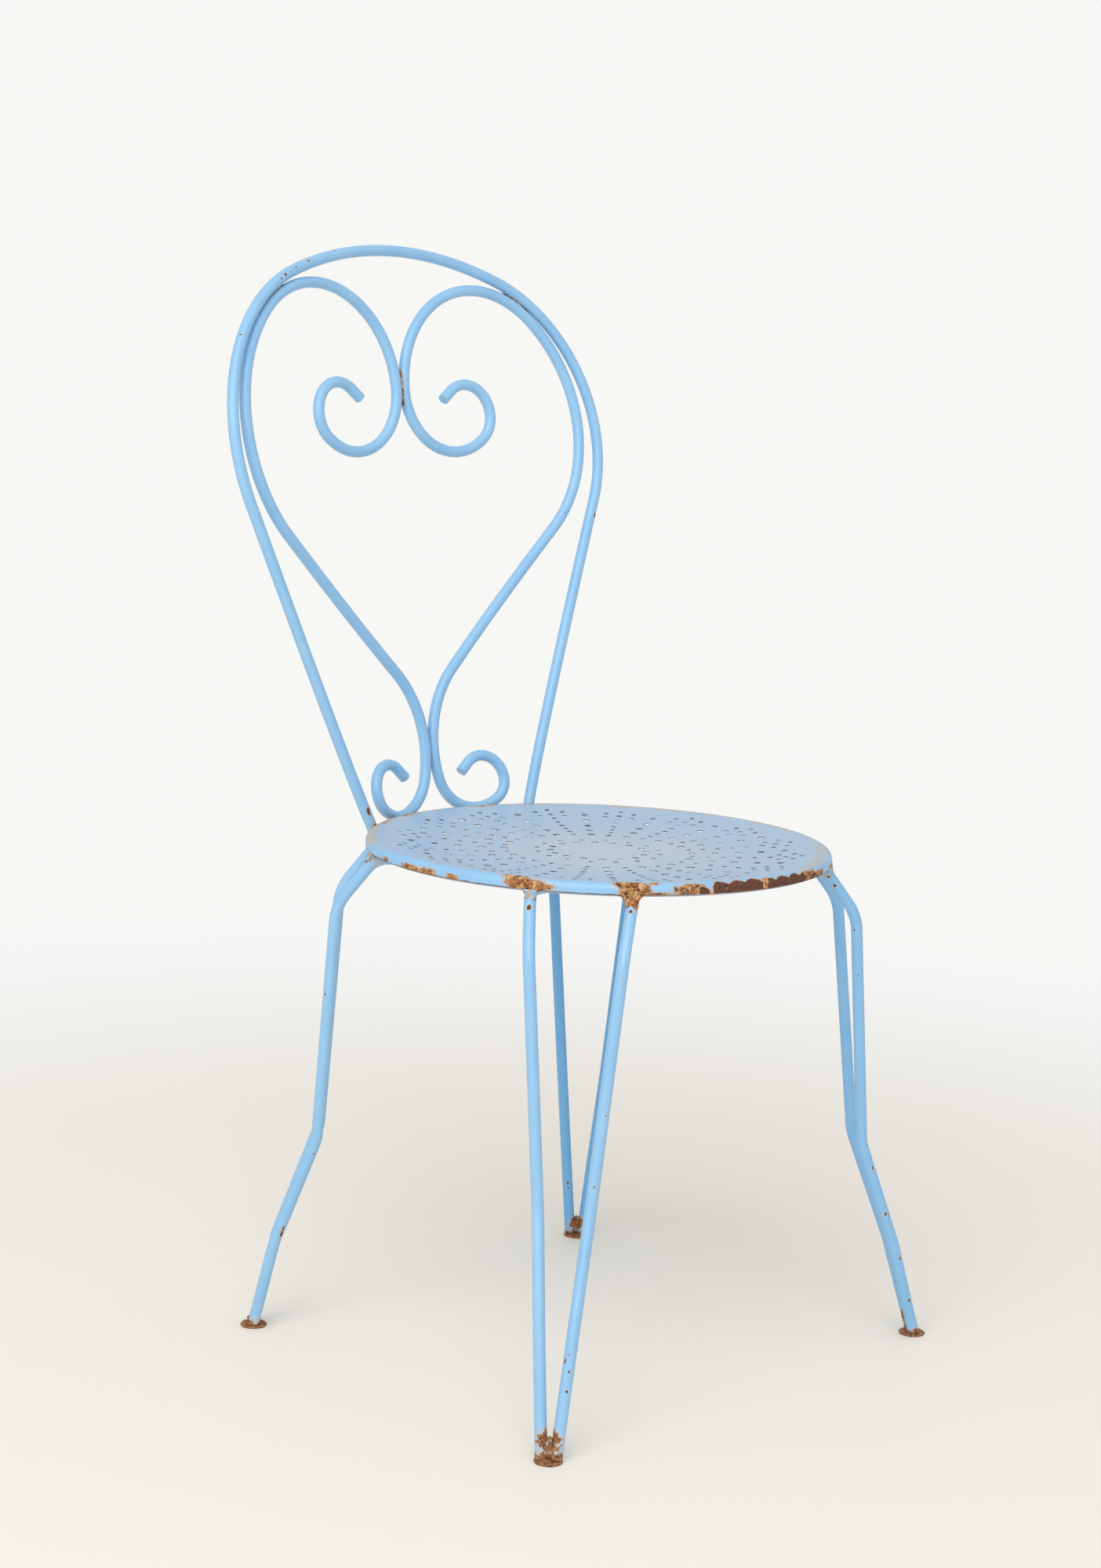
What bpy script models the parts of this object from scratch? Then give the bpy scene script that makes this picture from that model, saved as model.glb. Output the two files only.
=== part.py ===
"""Round garden chair of bent steel rod with a perforated, dished sheet seat.

The chair stands on the floor at z = 0 and faces -Y. Left is the -X side. The
origin is under the middle of its outer box. Lengths are metres.
"""

import math

import bmesh
import bpy
from mathutils import Vector

# Placing
SEAT_Y = -0.04475             # seat axis, measured from the origin
SEAT_TOP = 0.442              # top of the seat's rolled rim

# Seat sheet
SEAT_RADIUS = 0.200
SHEET = 0.0012
ROLL_RADIUS = 0.0055          # outside radius of the rolled edge
ROLL_START = math.radians(100)
SKIRT_DEPTH = 0.0105          # rim top to the lower edge of the skirt
DISH_DEPTH = 0.0093
DISH_FLAT = 0.060             # the middle is flat out to this radius
DISH_POWER = 2.4
RIM_SEGMENTS = 48

# Punched holes
SPOKES = 16
SPOKE_PHASE = math.radians(2.8)
LARGE_HOLE = 0.0060
SMALL_HOLE = 0.0043
LARGE_RING = 0.0415
SMALL_RING = 0.0535
SPOKE_START = 0.081
LARGE_PITCH = 0.020
LARGE_COUNT = 5
SMALL_PITCH = 0.01333
SMALL_COUNT = 8
CLUSTER_RADII = (0.1553, 0.1681)
CLUSTER_ANGLE = math.radians(4.3)
HOLE_TURN = math.radians(11)  # keeps the corners of a spoke's holes out of line

# Round rod
ROD = 0.005                   # rod radius
FIT = 0.0003                  # gap left where two pieces touch
ROD_SIDES = 2                 # bevel resolution, which gives eight sides
SAGITTA = 0.0005              # how far a facet may leave its arc
LONG_STEP = 0.045             # longest facet on a straight run

# Back, drawn on a surface that starts round the rim and flattens upward
BACK_BASE = 0.440
BACK_LEAN = 0.1574            # backward run for each unit of height
BACK_OPENING = 1.94           # growth of the surface's radius with height
HOOP_BASE_RADIUS = 0.2076
SCROLL_BASE_RADIUS = 0.2051
SCROLL_EXTRA_LEAN = 0.0084

# Legs, as distance from the seat axis and height
FRONT_ANGLE = math.radians(50.8)      # from straight ahead
REAR_ANGLE = math.radians(45.9)       # from straight behind
FRONT_LEG = ((0.3007, 0.003), (0.2761, 0.0867), (0.2404, 0.181), (0.2205, 0.387))
REAR_LEG = ((0.2855, 0.003), (0.2684, 0.0803), (0.2338, 0.176), (0.2223, 0.3847))
LEG_TOP = (0.1900, 0.4271)
LEG_BENDS = (0.050, 0.045, 0.045, 0.022)
SPREAD_AT_FLOOR = 0.0056      # half the distance between a leg's two rods
SPREAD_PER_HEIGHT = 0.083
LOOP_START = 0.1760

# Feet
FOOT_RADIUS = 0.0115
FOOT_THICKNESS = 0.003
FOOT_EDGE = 0.0008
FOOT_SEGMENTS = 16


def clear_scene():
    for old in list(bpy.data.objects):
        bpy.data.objects.remove(old, do_unlink=True)


def make_material(name, colour, roughness, metallic):
    material = bpy.data.materials.new(name)
    material.use_nodes = True
    shader = material.node_tree.nodes["Principled BSDF"]
    shader.inputs["Base Color"].default_value = (*colour, 1.0)
    shader.inputs["Roughness"].default_value = roughness
    shader.inputs["Metallic"].default_value = metallic
    material.diffuse_color = (*colour, 1.0)
    return material


def add_piece(name, data, collection, parent, material):
    piece = bpy.data.objects.new(name, data)
    if not data.materials:
        data.materials.append(material)
    collection.objects.link(piece)
    piece.parent = parent
    return piece


def facets_for(radius, angle):
    """Number of straight facets that keep an arc within the sagitta."""
    step = 2.0 * math.acos(1.0 - SAGITTA / radius)
    return max(1, math.ceil(abs(angle) / step))


# Plane centre-lines


def chain(start, heading, runs):
    """Centre-line from straight runs (length,) and arcs (radius, angle).

    The heading and the angles turn anticlockwise, in radians and degrees.
    """
    points = [Vector(start)]
    for run in runs:
        if len(run) == 1:
            pieces = max(1, math.ceil(run[0] / LONG_STEP))
            step = Vector((math.cos(heading), math.sin(heading))) * run[0] / pieces
            for _ in range(pieces):
                points.append(points[-1] + step)
            continue
        radius, angle = run[0], math.radians(run[1])
        side = math.copysign(1.0, angle)
        normal = Vector((-math.sin(heading), math.cos(heading))) * side
        centre = points[-1] + normal * radius
        count = facets_for(radius, angle)
        for index in range(1, count + 1):
            turned = heading + angle * index / count
            out = Vector((math.sin(turned), -math.cos(turned))) * side
            points.append(centre + out * radius)
        heading += angle
    return points


def rounded_path(corners, radii):
    """Polyline through the corners, each inner one rounded to its radius."""
    points = [Vector(corners[0])]
    for before, corner, after, radius in zip(corners, corners[1:], corners[2:], radii):
        corner = Vector(corner)
        arriving = (corner - Vector(before)).normalized()
        leaving = (Vector(after) - corner).normalized()
        turn = arriving.angle(leaving)
        reach = radius * math.tan(turn / 2)
        centre = corner + (leaving - arriving).normalized() * radius / math.cos(turn / 2)
        first = corner - arriving * reach - centre
        last = corner + leaving * reach - centre
        count = facets_for(radius, turn)
        for index in range(count + 1):
            share = index / count
            weight = math.sin(turn * (1 - share)), math.sin(turn * share)
            points.append(centre + (first * weight[0] + last * weight[1]) / math.sin(turn))
    points.append(Vector(corners[-1]))
    return points


# Round rod


def rod_curve(name, points):
    """Round rod along the points, closed at both ends."""
    curve = bpy.data.curves.new(name, "CURVE")
    curve.dimensions = "3D"
    spline = curve.splines.new("POLY")
    spline.points.add(len(points) - 1)
    for target, point in zip(spline.points, points):
        target.co = (*point, 1.0)
    spline.use_smooth = True
    curve.bevel_depth = ROD
    curve.bevel_resolution = ROD_SIDES
    curve.use_fill_caps = True
    return curve


def curve_to_mesh(curve):
    """Mesh of a curve, with its loose caps welded on."""
    holder = bpy.data.objects.new(curve.name, curve)
    bpy.context.scene.collection.objects.link(holder)
    evaluated = holder.evaluated_get(bpy.context.evaluated_depsgraph_get())
    mesh = bpy.data.meshes.new_from_object(evaluated)
    bpy.data.objects.remove(holder, do_unlink=True)
    form = bmesh.new()
    form.from_mesh(mesh)
    bmesh.ops.remove_doubles(form, verts=form.verts, dist=0.00001)
    form.to_mesh(mesh)
    form.free()
    return mesh


# Seat


def dish_height(radius):
    """Height of the sheet's upper face below its outer edge."""
    share = max(0.0, radius - DISH_FLAT) / (plate_radius() - DISH_FLAT)
    return DISH_DEPTH * (min(share, 1.0) ** DISH_POWER - 1.0)


def plate_radius():
    return SEAT_RADIUS - ROLL_RADIUS + ROLL_RADIUS * math.cos(ROLL_START)


def rim_profile():
    """Radius and depth round the rolled edge and down the skirt."""
    profile = []
    for index in range(1, 5):
        angle = ROLL_START * (1 - index / 4)
        radius = SEAT_RADIUS - ROLL_RADIUS + ROLL_RADIUS * math.cos(angle)
        profile.append((radius, ROLL_RADIUS * (math.sin(angle) - 1.0)))
    profile.append((SEAT_RADIUS, -SKIRT_DEPTH))
    return profile


def circle(centre_radius, centre_angle, diameter, sides):
    """Outline of a hole as a regular polygon."""
    middle = Vector((math.cos(centre_angle), math.sin(centre_angle))) * centre_radius
    corners = []
    for index in range(sides):
        angle = centre_angle + HOLE_TURN + math.tau * index / sides
        corners.append(middle + Vector((math.cos(angle), math.sin(angle))) * diameter / 2)
    return corners


def hole_outlines():
    """Every punched hole: two rings, the spokes and the outer clusters."""
    outlines = []
    for spoke in range(SPOKES):
        large = SPOKE_PHASE + math.tau * spoke / SPOKES
        small = large + math.pi / SPOKES
        outlines.append(circle(LARGE_RING, large, LARGE_HOLE, 6))
        outlines.append(circle(SMALL_RING, small, SMALL_HOLE, 5))
        for index in range(LARGE_COUNT):
            radius = SPOKE_START + LARGE_PITCH * index
            outlines.append(circle(radius, large, LARGE_HOLE, 6))
        for index in range(SMALL_COUNT):
            radius = SPOKE_START + SMALL_PITCH * index
            outlines.append(circle(radius, small, SMALL_HOLE, 5))
        for radius in CLUSTER_RADII:
            for side in (-CLUSTER_ANGLE, CLUSTER_ANGLE):
                outlines.append(circle(radius, small + side, SMALL_HOLE, 5))
    return outlines


def punched_plate():
    """Flat sheet inside the rolled edge, with its holes."""
    curve = bpy.data.curves.new("seat_plate", "CURVE")
    curve.dimensions = "2D"
    curve.fill_mode = "BOTH"
    rim = []
    for index in range(RIM_SEGMENTS):
        angle = math.tau * index / RIM_SEGMENTS
        rim.append(Vector((math.cos(angle), math.sin(angle))) * plate_radius())
    for outline in [rim] + hole_outlines():
        spline = curve.splines.new("POLY")
        spline.points.add(len(outline) - 1)
        for target, point in zip(spline.points, outline):
            target.co = (point.x, point.y, 0.0, 1.0)
        spline.use_cyclic_u = True
    return curve_to_mesh(curve)


def seat_mesh():
    """Dished plate, rolled edge and skirt as one open surface."""
    mesh = punched_plate()
    form = bmesh.new()
    form.from_mesh(mesh)
    bmesh.ops.triangulate(form, faces=form.faces)
    bmesh.ops.beautify_fill(form, faces=form.faces, edges=form.edges)
    limit = plate_radius() * math.cos(math.pi / RIM_SEGMENTS) - 0.0005
    edge = [e for e in form.edges if e.is_boundary]
    edge = [e for e in edge if min(v.co.length for v in e.verts) > limit]
    for vertex in form.verts:
        vertex.co.z = dish_height(vertex.co.xy.length)
    for radius, height in rim_profile():
        grown = bmesh.ops.extrude_edge_only(form, edges=edge)["geom"]
        for vertex in [g for g in grown if isinstance(g, bmesh.types.BMVert)]:
            out = vertex.co.xy.normalized() * radius
            vertex.co = (out.x, out.y, height)
        edge = [g for g in grown if isinstance(g, bmesh.types.BMEdge)]
        edge = [e for e in edge if e.is_boundary]
    bmesh.ops.recalc_face_normals(form, faces=form.faces)
    middle = min(form.faces, key=lambda face: face.calc_center_median().length)
    if middle.normal.z < 0:
        bmesh.ops.reverse_faces(form, faces=form.faces)
    form.to_mesh(mesh)
    form.free()
    mesh.name = "seat_pan"
    mesh.shade_smooth()
    mesh.set_sharp_from_angle(angle=math.radians(35))
    return mesh


def add_seat(collection, parent, paint):
    """Pressed seat sheet, thickened downward."""
    pan = add_piece("seat_pan", seat_mesh(), collection, parent, paint)
    pan.location.z = SEAT_TOP
    solid = pan.modifiers.new("sheet", "SOLIDIFY")
    solid.thickness = SHEET
    solid.offset = -1.0
    solid.use_even_offset = True


def add_ring(collection, parent, paint):
    """Rod ring that lies inside the skirt and carries the sheet."""
    radius = SEAT_RADIUS - SHEET - FIT - ROD
    bpy.ops.mesh.primitive_torus_add(
        major_radius=radius,
        minor_radius=ROD,
        major_segments=RIM_SEGMENTS,
        minor_segments=8,
    )
    ring = bpy.context.object
    ring.name = "seat_ring"
    for owner in list(ring.users_collection):
        owner.objects.unlink(ring)
    collection.objects.link(ring)
    ring.parent = parent
    ring.location = (0.0, 0.0, SEAT_TOP - SHEET - FIT - ROD)
    ring.data.materials.append(paint)
    ring.data.shade_smooth()


# Back


def on_back(point, base_radius, lean):
    """Place a point of the back's drawing, x across and h up, in space."""
    radius = base_radius + BACK_OPENING * point.y
    bow = math.sqrt(radius ** 2 - point.x ** 2) - radius
    return Vector((point.x, base_radius + lean * point.y + bow, BACK_BASE + point.y))


def hoop_points():
    """Balloon hoop from one foot over the top to the other."""
    below = 0.008
    heading = math.radians(90 - 21.97)
    foot = Vector((0.0992, 0.0)) - Vector((math.cos(heading), math.sin(heading))) * below
    runs = [(0.2989 + below,), (0.1518, 91.55), (0.3532, 20.42)]
    half = chain(foot, heading, runs)
    half[-1].x = 0.0
    other = [Vector((-point.x, point.y)) for point in reversed(half[:-1])]
    return [on_back(p, HOOP_BASE_RADIUS, BACK_LEAN) for p in half + other]


def scroll_points(side):
    """Double scroll: large curl above, small curl below, one long S."""
    middle = (0.1097, 0.1976)
    heading = math.radians(44.32)
    upward = chain(middle, heading, [
        (0.0753,), (0.1319, 95.12), (0.0923, 129.53), (0.0553, 131.12),
        (0.0272, 178.58), (0.0129,),
    ])
    downward = chain(middle, heading + math.pi, [
        (0.1049,), (0.0979, 61.67), (0.0395, 112.05), (0.0212, 184.57), (0.0118,),
    ])
    flat = list(reversed(downward)) + upward[1:]
    lean = BACK_LEAN + SCROLL_EXTRA_LEAN
    space = [on_back(point, SCROLL_BASE_RADIUS, lean) for point in flat]
    return [Vector((side * p.x, p.y, p.z)) for p in space]


def add_back(collection, parent, paint):
    hoop = rod_curve("back_hoop", hoop_points())
    add_piece("back_hoop", hoop, collection, parent, paint)
    for name, side in (("back_scroll_left", -1), ("back_scroll_right", 1)):
        scroll = rod_curve(name, scroll_points(side))
        add_piece(name, scroll, collection, parent, paint)


# Legs and feet


def leg_points(corners):
    """Hairpin rod of a leg that points to +X: up, round the loop and down."""
    ends = list(corners) + [LEG_TOP, (LOOP_START, LEG_TOP[1])]
    below = Vector(ends[0]) + (Vector(ends[0]) - Vector(ends[1])).normalized() * 0.012
    side = rounded_path([below] + ends[1:], LEG_BENDS)
    rise = []
    for point in side:
        rise.append(Vector((point.x, spread(point.y), point.y)))
    loop = []
    radius = spread(LEG_TOP[1])
    count = facets_for(radius, math.pi)
    for index in range(1, count):
        angle = math.pi * index / count
        out = LOOP_START - radius * math.sin(angle)
        loop.append(Vector((out, radius * math.cos(angle), LEG_TOP[1])))
    fall = [Vector((p.x, -p.y, p.z)) for p in reversed(rise)]
    return rise + loop + fall


def spread(height):
    return SPREAD_AT_FLOOR + SPREAD_PER_HEIGHT * height


def leg_mesh(name, corners):
    """Leg rod with both ends cut level, just clear of the foot."""
    mesh = curve_to_mesh(rod_curve(name, leg_points(corners)))
    form = bmesh.new()
    form.from_mesh(mesh)
    everything = form.verts[:] + form.edges[:] + form.faces[:]
    cut = bmesh.ops.bisect_plane(
        form,
        geom=everything,
        plane_co=(0.0, 0.0, FOOT_THICKNESS + FIT),
        plane_no=(0.0, 0.0, 1.0),
        clear_inner=True,
    )["geom_cut"]
    rims = [g for g in cut if isinstance(g, bmesh.types.BMEdge)]
    bmesh.ops.holes_fill(form, edges=rims)
    bmesh.ops.recalc_face_normals(form, faces=form.faces)
    form.to_mesh(mesh)
    form.free()
    mesh.shade_smooth()
    mesh.set_sharp_from_angle(angle=math.radians(50))
    return mesh


def foot_mesh():
    """Small disc with an eased upper edge, turned about its axis."""
    profile = [
        (0.0, FOOT_THICKNESS),
        (FOOT_RADIUS - FOOT_EDGE, FOOT_THICKNESS),
        (FOOT_RADIUS, FOOT_THICKNESS - FOOT_EDGE),
        (FOOT_RADIUS, 0.0),
        (0.0, 0.0),
    ]
    mesh = bpy.data.meshes.new("foot")
    edges = [(index, index + 1) for index in range(len(profile) - 1)]
    mesh.from_pydata([(x, 0.0, z) for x, z in profile], edges, [])
    return mesh


def add_foot(name, mesh, collection, parent, paint):
    foot = add_piece(name, mesh, collection, parent, paint)
    turn = foot.modifiers.new("turn", "SCREW")
    turn.steps = FOOT_SEGMENTS
    turn.render_steps = FOOT_SEGMENTS
    turn.use_merge_vertices = True
    turn.merge_threshold = 0.00001
    turn.use_smooth_shade = False
    return foot


def add_legs(collection, parent, paint, rust):
    """Four hairpin legs and their feet, each pair from one mesh."""
    front = leg_mesh("leg_front", FRONT_LEG)
    rear = leg_mesh("leg_rear", REAR_LEG)
    foot = foot_mesh()
    right_front = FRONT_ANGLE - math.pi / 2
    right_rear = math.pi / 2 - REAR_ANGLE
    places = (
        ("front_left", front, FRONT_LEG, math.pi - right_front),
        ("front_right", front, FRONT_LEG, right_front),
        ("rear_left", rear, REAR_LEG, math.pi - right_rear),
        ("rear_right", rear, REAR_LEG, right_rear),
    )
    for name, mesh, corners, turn in places:
        leg = add_piece("leg_" + name, mesh, collection, parent, paint)
        leg.rotation_euler.z = turn
        out = Vector((math.cos(turn), math.sin(turn), 0.0)) * corners[0][0]
        add_foot("foot_" + name, foot, collection, parent, rust).location = out


def main():
    clear_scene()
    collection = bpy.data.collections.new("garden_chair")
    bpy.context.scene.collection.children.link(collection)
    chair = bpy.data.objects.new("chair", None)
    chair.location = (0.0, SEAT_Y, 0.0)
    collection.objects.link(chair)
    seat_paint = make_material("seat_paint", (0.30, 0.52, 0.76), 0.35, 0.0)
    rod_paint = make_material("rod_paint", (0.26, 0.54, 0.86), 0.30, 0.0)
    foot_rust = make_material("foot_rust", (0.20, 0.10, 0.05), 0.80, 0.0)
    add_seat(collection, chair, seat_paint)
    add_ring(collection, chair, rod_paint)
    add_back(collection, chair, rod_paint)
    add_legs(collection, chair, rod_paint, foot_rust)


main()
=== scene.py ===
# %% [markdown]
# # A weathered garden chair in sky-blue paint
#
# This lesson dresses a round steel garden chair: bent rod, a pressed and
# punched seat, hairpin legs, and paint that has chipped and rusted. The solid
# model is loaded first and stays as it is. It sets every size and place, and
# each finer piece made here stands exactly where its solid stands.

# %% Load the solid model
import math

import bpy
import numpy as np
from mathutils import Matrix, Vector, noise
from mathutils.kdtree import KDTree


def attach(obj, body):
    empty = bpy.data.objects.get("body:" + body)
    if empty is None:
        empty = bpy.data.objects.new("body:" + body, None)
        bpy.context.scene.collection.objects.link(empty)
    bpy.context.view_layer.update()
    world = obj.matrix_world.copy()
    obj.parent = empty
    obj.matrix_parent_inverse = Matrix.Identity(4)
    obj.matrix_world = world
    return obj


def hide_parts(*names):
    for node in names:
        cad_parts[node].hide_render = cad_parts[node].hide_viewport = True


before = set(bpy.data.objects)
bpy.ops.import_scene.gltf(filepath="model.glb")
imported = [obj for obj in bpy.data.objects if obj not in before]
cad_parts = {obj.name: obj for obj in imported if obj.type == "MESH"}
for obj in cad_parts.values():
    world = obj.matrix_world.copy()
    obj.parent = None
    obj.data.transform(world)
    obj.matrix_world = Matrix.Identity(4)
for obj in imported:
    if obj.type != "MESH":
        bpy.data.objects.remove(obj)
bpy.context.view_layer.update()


# %% [markdown]
# Operators work on whatever is selected, and the loaded solids arrive
# selected. Four small helpers keep that in hand: one clears the selection, one
# picks an object, one opens it in edit mode with everything selected, and one
# reports what has been made.

# %% Selection helpers
def clear_selection():
    if bpy.context.object and bpy.context.object.mode != "OBJECT":
        bpy.ops.object.mode_set(mode="OBJECT")
    bpy.ops.object.select_all(action="DESELECT")


def pick(*objects):
    clear_selection()
    for thing in objects:
        thing.select_set(True)
    bpy.context.view_layer.objects.active = objects[0]


def edit_all(piece):
    pick(piece)
    bpy.ops.object.mode_set(mode="EDIT")
    bpy.ops.mesh.select_all(action="SELECT")


def report(piece):
    size = [round(value * 1000, 1) for value in piece.dimensions]
    print(piece.name, "faces", len(piece.data.polygons), "size mm", size)


clear_selection()
print("selection cleared")

# %% [markdown]
# ## Camera
#
# The photograph was taken from the chair's front left at chest height, a
# little downward, with the camera rolled by about two degrees. The pose was
# solved from the round seat, which looks like an ellipse, and from the four
# feet. The camera is turned to its heading, tipped down and rolled, one turn
# after the other.

# %% Place the camera
CAMERA_PLACE = Vector((-1.8101, -1.7218, 0.8658))
HEADING, DROP, ROLL = (math.radians(angle) for angle in (46.177, 8.681, 2.258))

clear_selection()
bpy.ops.object.camera_add()
camera = bpy.context.object
camera.data.lens = 66.87
camera.data.sensor_width = 36.0
camera.matrix_world = (
    Matrix.Translation(CAMERA_PLACE)
    @ Matrix.Rotation(-HEADING, 4, "Z")
    @ Matrix.Rotation(math.pi / 2 - DROP, 4, "X")
    @ Matrix.Rotation(ROLL, 4, "Z")
)
bpy.context.scene.camera = camera
print("camera at", [round(value, 3) for value in camera.location])

# %% [markdown]
# ## Main sizes
#
# The fine pieces repeat the solid model's sizes, in metres. The seat's axis
# stands a little in front of the origin, because the origin is under the
# middle of the whole chair and the back leans out behind.

# %% Sizes of the chair
UP = Vector((0.0, 0.0, 1.0))
SEAT_AXIS = Vector((0.0, -0.04475, 0.0))
SEAT_TOP = 0.442
SEAT_RADIUS = 0.200
SOLID_SHEET = 0.0012    # thickness of the solid's sheet, under which the ring lies
SHEET = 0.0006          # thickness of the fine sheet
ROLL_RADIUS = 0.0055
ROLL_START = math.radians(100)
SKIRT_DEPTH = 0.0091
ROD = 0.005             # half the thickness of every rod
FIT = 0.0003            # gap between pieces that are welded
FRONT_ANGLE = math.radians(50.8)
REAR_ANGLE = math.radians(45.9)
LEG_TURNS = {
    "front_left": math.pi * 1.5 - FRONT_ANGLE,
    "front_right": FRONT_ANGLE - math.pi * 0.5,
    "rear_left": math.pi * 0.5 + REAR_ANGLE,
    "rear_right": math.pi * 0.5 - REAR_ANGLE,
}
ROUTE_STEP = 0.0025     # distance between the points of a rod's route
print("seat", 2 * SEAT_RADIUS, "m across and", SEAT_TOP, "m high")

# %% [markdown]
# ## The routes of the rods
#
# Every rod is the same 10 mm round bar, cold bent. A bender works in straight
# runs and arcs, so each route is written that way: so far straight, then this
# radius through this angle. Close points along the route give a rod that
# looks round in its bends.

# %% Straight runs and arcs
def bent_route(start, heading, runs):
    """Points in a plane along straight runs (length,) and arcs (radius, degrees)."""
    points = [Vector(start)]
    for run in runs:
        if len(run) == 1:
            count = max(1, round(run[0] / ROUTE_STEP))
            step = Vector((math.cos(heading), math.sin(heading))) * run[0] / count
            points += [points[-1] + step * index for index in range(1, count + 1)]
            continue
        radius, angle = run[0], math.radians(run[1])
        middle = points[-1] + Vector((-math.sin(heading), math.cos(heading))) * radius
        count = max(2, round(radius * angle / ROUTE_STEP))
        for index in range(1, count + 1):
            turned = heading + angle * index / count
            points.append(middle + Vector((math.sin(turned), -math.cos(turned))) * radius)
        heading += angle
    return points


def rounded_route(corners, radii):
    """Points through corners, each inner corner rounded to its radius."""
    points = [Vector(corners[0])]
    for before, corner, after, radius in zip(corners, corners[1:], corners[2:], radii):
        corner = Vector(corner)
        arriving = (corner - Vector(before)).normalized()
        leaving = (Vector(after) - corner).normalized()
        turn = arriving.angle(leaving)
        reach = radius * math.tan(turn / 2)
        middle = corner + (leaving - arriving).normalized() * radius / math.cos(turn / 2)
        first = corner - arriving * reach - middle
        last = corner + leaving * reach - middle
        count = max(2, round(radius * turn / ROUTE_STEP))
        gap = (middle + first - points[-1]).length
        steps = max(1, round(gap / ROUTE_STEP))
        start = points[-1]
        points += [start.lerp(middle + first, index / steps) for index in range(1, steps)]
        for index in range(count + 1):
            share = index / count
            near, far = math.sin(turn * (1 - share)), math.sin(turn * share)
            points.append(middle + (first * near + last * far) / math.sin(turn))
    points.append(Vector(corners[-1]))
    return points


# %% [markdown]
# The back isn't flat. At the bottom it hugs the round seat, and it opens out
# and leans away as it rises. So its drawing, x across and h up, is laid on a
# surface whose radius grows with height. The hoop is one rod from foot to
# foot. Each scroll is one rod too: a large curl above, a long slant, and a
# small curl that ends against the rim.

# %% Routes of the back
BACK_FLARE = 1.94       # how fast the surface's radius grows with height
BACK_FOOT = 0.440       # height at which the drawing starts
HOOP_LEAN = (0.2076, 0.1574)        # radius at the foot, and lean per metre
SCROLL_LEAN = (0.2051, 0.1658)


def on_back(point, base_radius, lean):
    radius = base_radius + BACK_FLARE * point.y
    bow = math.sqrt(radius ** 2 - point.x ** 2) - radius
    place = Vector((point.x, base_radius + lean * point.y + bow, BACK_FOOT + point.y))
    return place + SEAT_AXIS


def hoop_route():
    below = 0.008       # the hoop runs on past the drawing's foot
    heading = math.radians(90 - 21.97)
    foot = Vector((0.0992, 0.0)) - Vector((math.cos(heading), math.sin(heading))) * below
    half = bent_route(foot, heading, [(0.2989 + below,), (0.1518, 91.55), (0.3532, 20.42)])
    half[-1].x = 0.0
    other = [Vector((-point.x, point.y)) for point in reversed(half[:-1])]
    return [on_back(point, *HOOP_LEAN) for point in half + other]


def scroll_route(side):
    middle, heading = (0.1097, 0.1976), math.radians(44.32)
    upward = bent_route(middle, heading, [
        (0.0753,), (0.1319, 95.12), (0.0923, 129.53), (0.0553, 131.12),
        (0.0272, 178.58), (0.0129,),
    ])
    downward = bent_route(middle, heading + math.pi, [
        (0.1049,), (0.0979, 61.67), (0.0395, 112.05), (0.0212, 184.57), (0.0118,),
    ])
    flat = list(reversed(downward)) + upward[1:]
    placed = [on_back(point, *SCROLL_LEAN) for point in flat]
    return [Vector((point.x * side, point.y, point.z)) for point in placed]


print("hoop route:", len(hoop_route()), "points")

# %% [markdown]
# A leg is a hairpin: one rod that rises from the foot with a soft ankle and a
# knee, turns in under the seat, loops round and comes down again beside
# itself. It is written once as it would stand on the +X side, then turned to
# its corner of the seat.

# %% Routes of the legs
LEG_CORNERS = {
    # distance from the seat's axis and height: foot, ankle, shin and knee
    "front": ((0.3007, 0.003), (0.2761, 0.0867), (0.2404, 0.181), (0.2205, 0.387)),
    "rear": ((0.2855, 0.003), (0.2684, 0.0803), (0.2338, 0.176), (0.2223, 0.3847)),
}
LEG_TOP = (0.1900, 0.4271)
LEG_BENDS = (0.050, 0.045, 0.045, 0.022)    # radius of each bend, from the ankle up
LEG_SPARE = 0.012       # length left below the floor, to be cut off level
LOOP_START = 0.1760


def rod_spread(height):
    """Half the distance between the two rods of a leg."""
    return 0.0056 + 0.083 * height


def leg_route(name):
    corners = list(LEG_CORNERS[name.split("_")[0]])
    ends = corners + [LEG_TOP, (LOOP_START, LEG_TOP[1])]
    foot, ankle = Vector(ends[0]), Vector(ends[1])
    below = foot + (foot - ankle).normalized() * LEG_SPARE
    side = rounded_route([below] + ends[1:], LEG_BENDS)
    rise = [Vector((point.x, rod_spread(point.y), point.y)) for point in side]
    radius = rod_spread(LEG_TOP[1])
    count = round(math.pi * radius / ROUTE_STEP)
    loop = []
    for index in range(1, count):
        angle = math.pi * index / count
        inward = LOOP_START - radius * math.sin(angle)
        loop.append(Vector((inward, radius * math.cos(angle), LEG_TOP[1])))
    fall = [Vector((point.x, -point.y, point.z)) for point in reversed(rise)]
    turn = Matrix.Rotation(LEG_TURNS[name], 3, "Z")
    return [turn @ point + SEAT_AXIS for point in rise + loop + fall]


print("leg route:", len(leg_route("front_left")), "points")

# %% [markdown]
# ## Bending a rod
#
# A curve with a round bevel is the quickest way to a bent bar, and it keeps an
# even thickness in every bend. It starts as a path that is given the route's
# points, and becomes a mesh as soon as it is shaped. Each ring of the mesh
# then remembers how far along the bar it lies, which later lets brush marks
# run along the rod instead of across it.

# %% Make rods from routes
ROD_FACETS = 24
EASE_WIDTH = 0.0006     # how far a sawn edge is rounded off
MERGE = 0.00002         # points closer than this become one


def smooth_by_angle(piece, degrees):
    pick(piece)
    bpy.ops.object.shade_smooth_by_angle(angle=math.radians(degrees))


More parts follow.
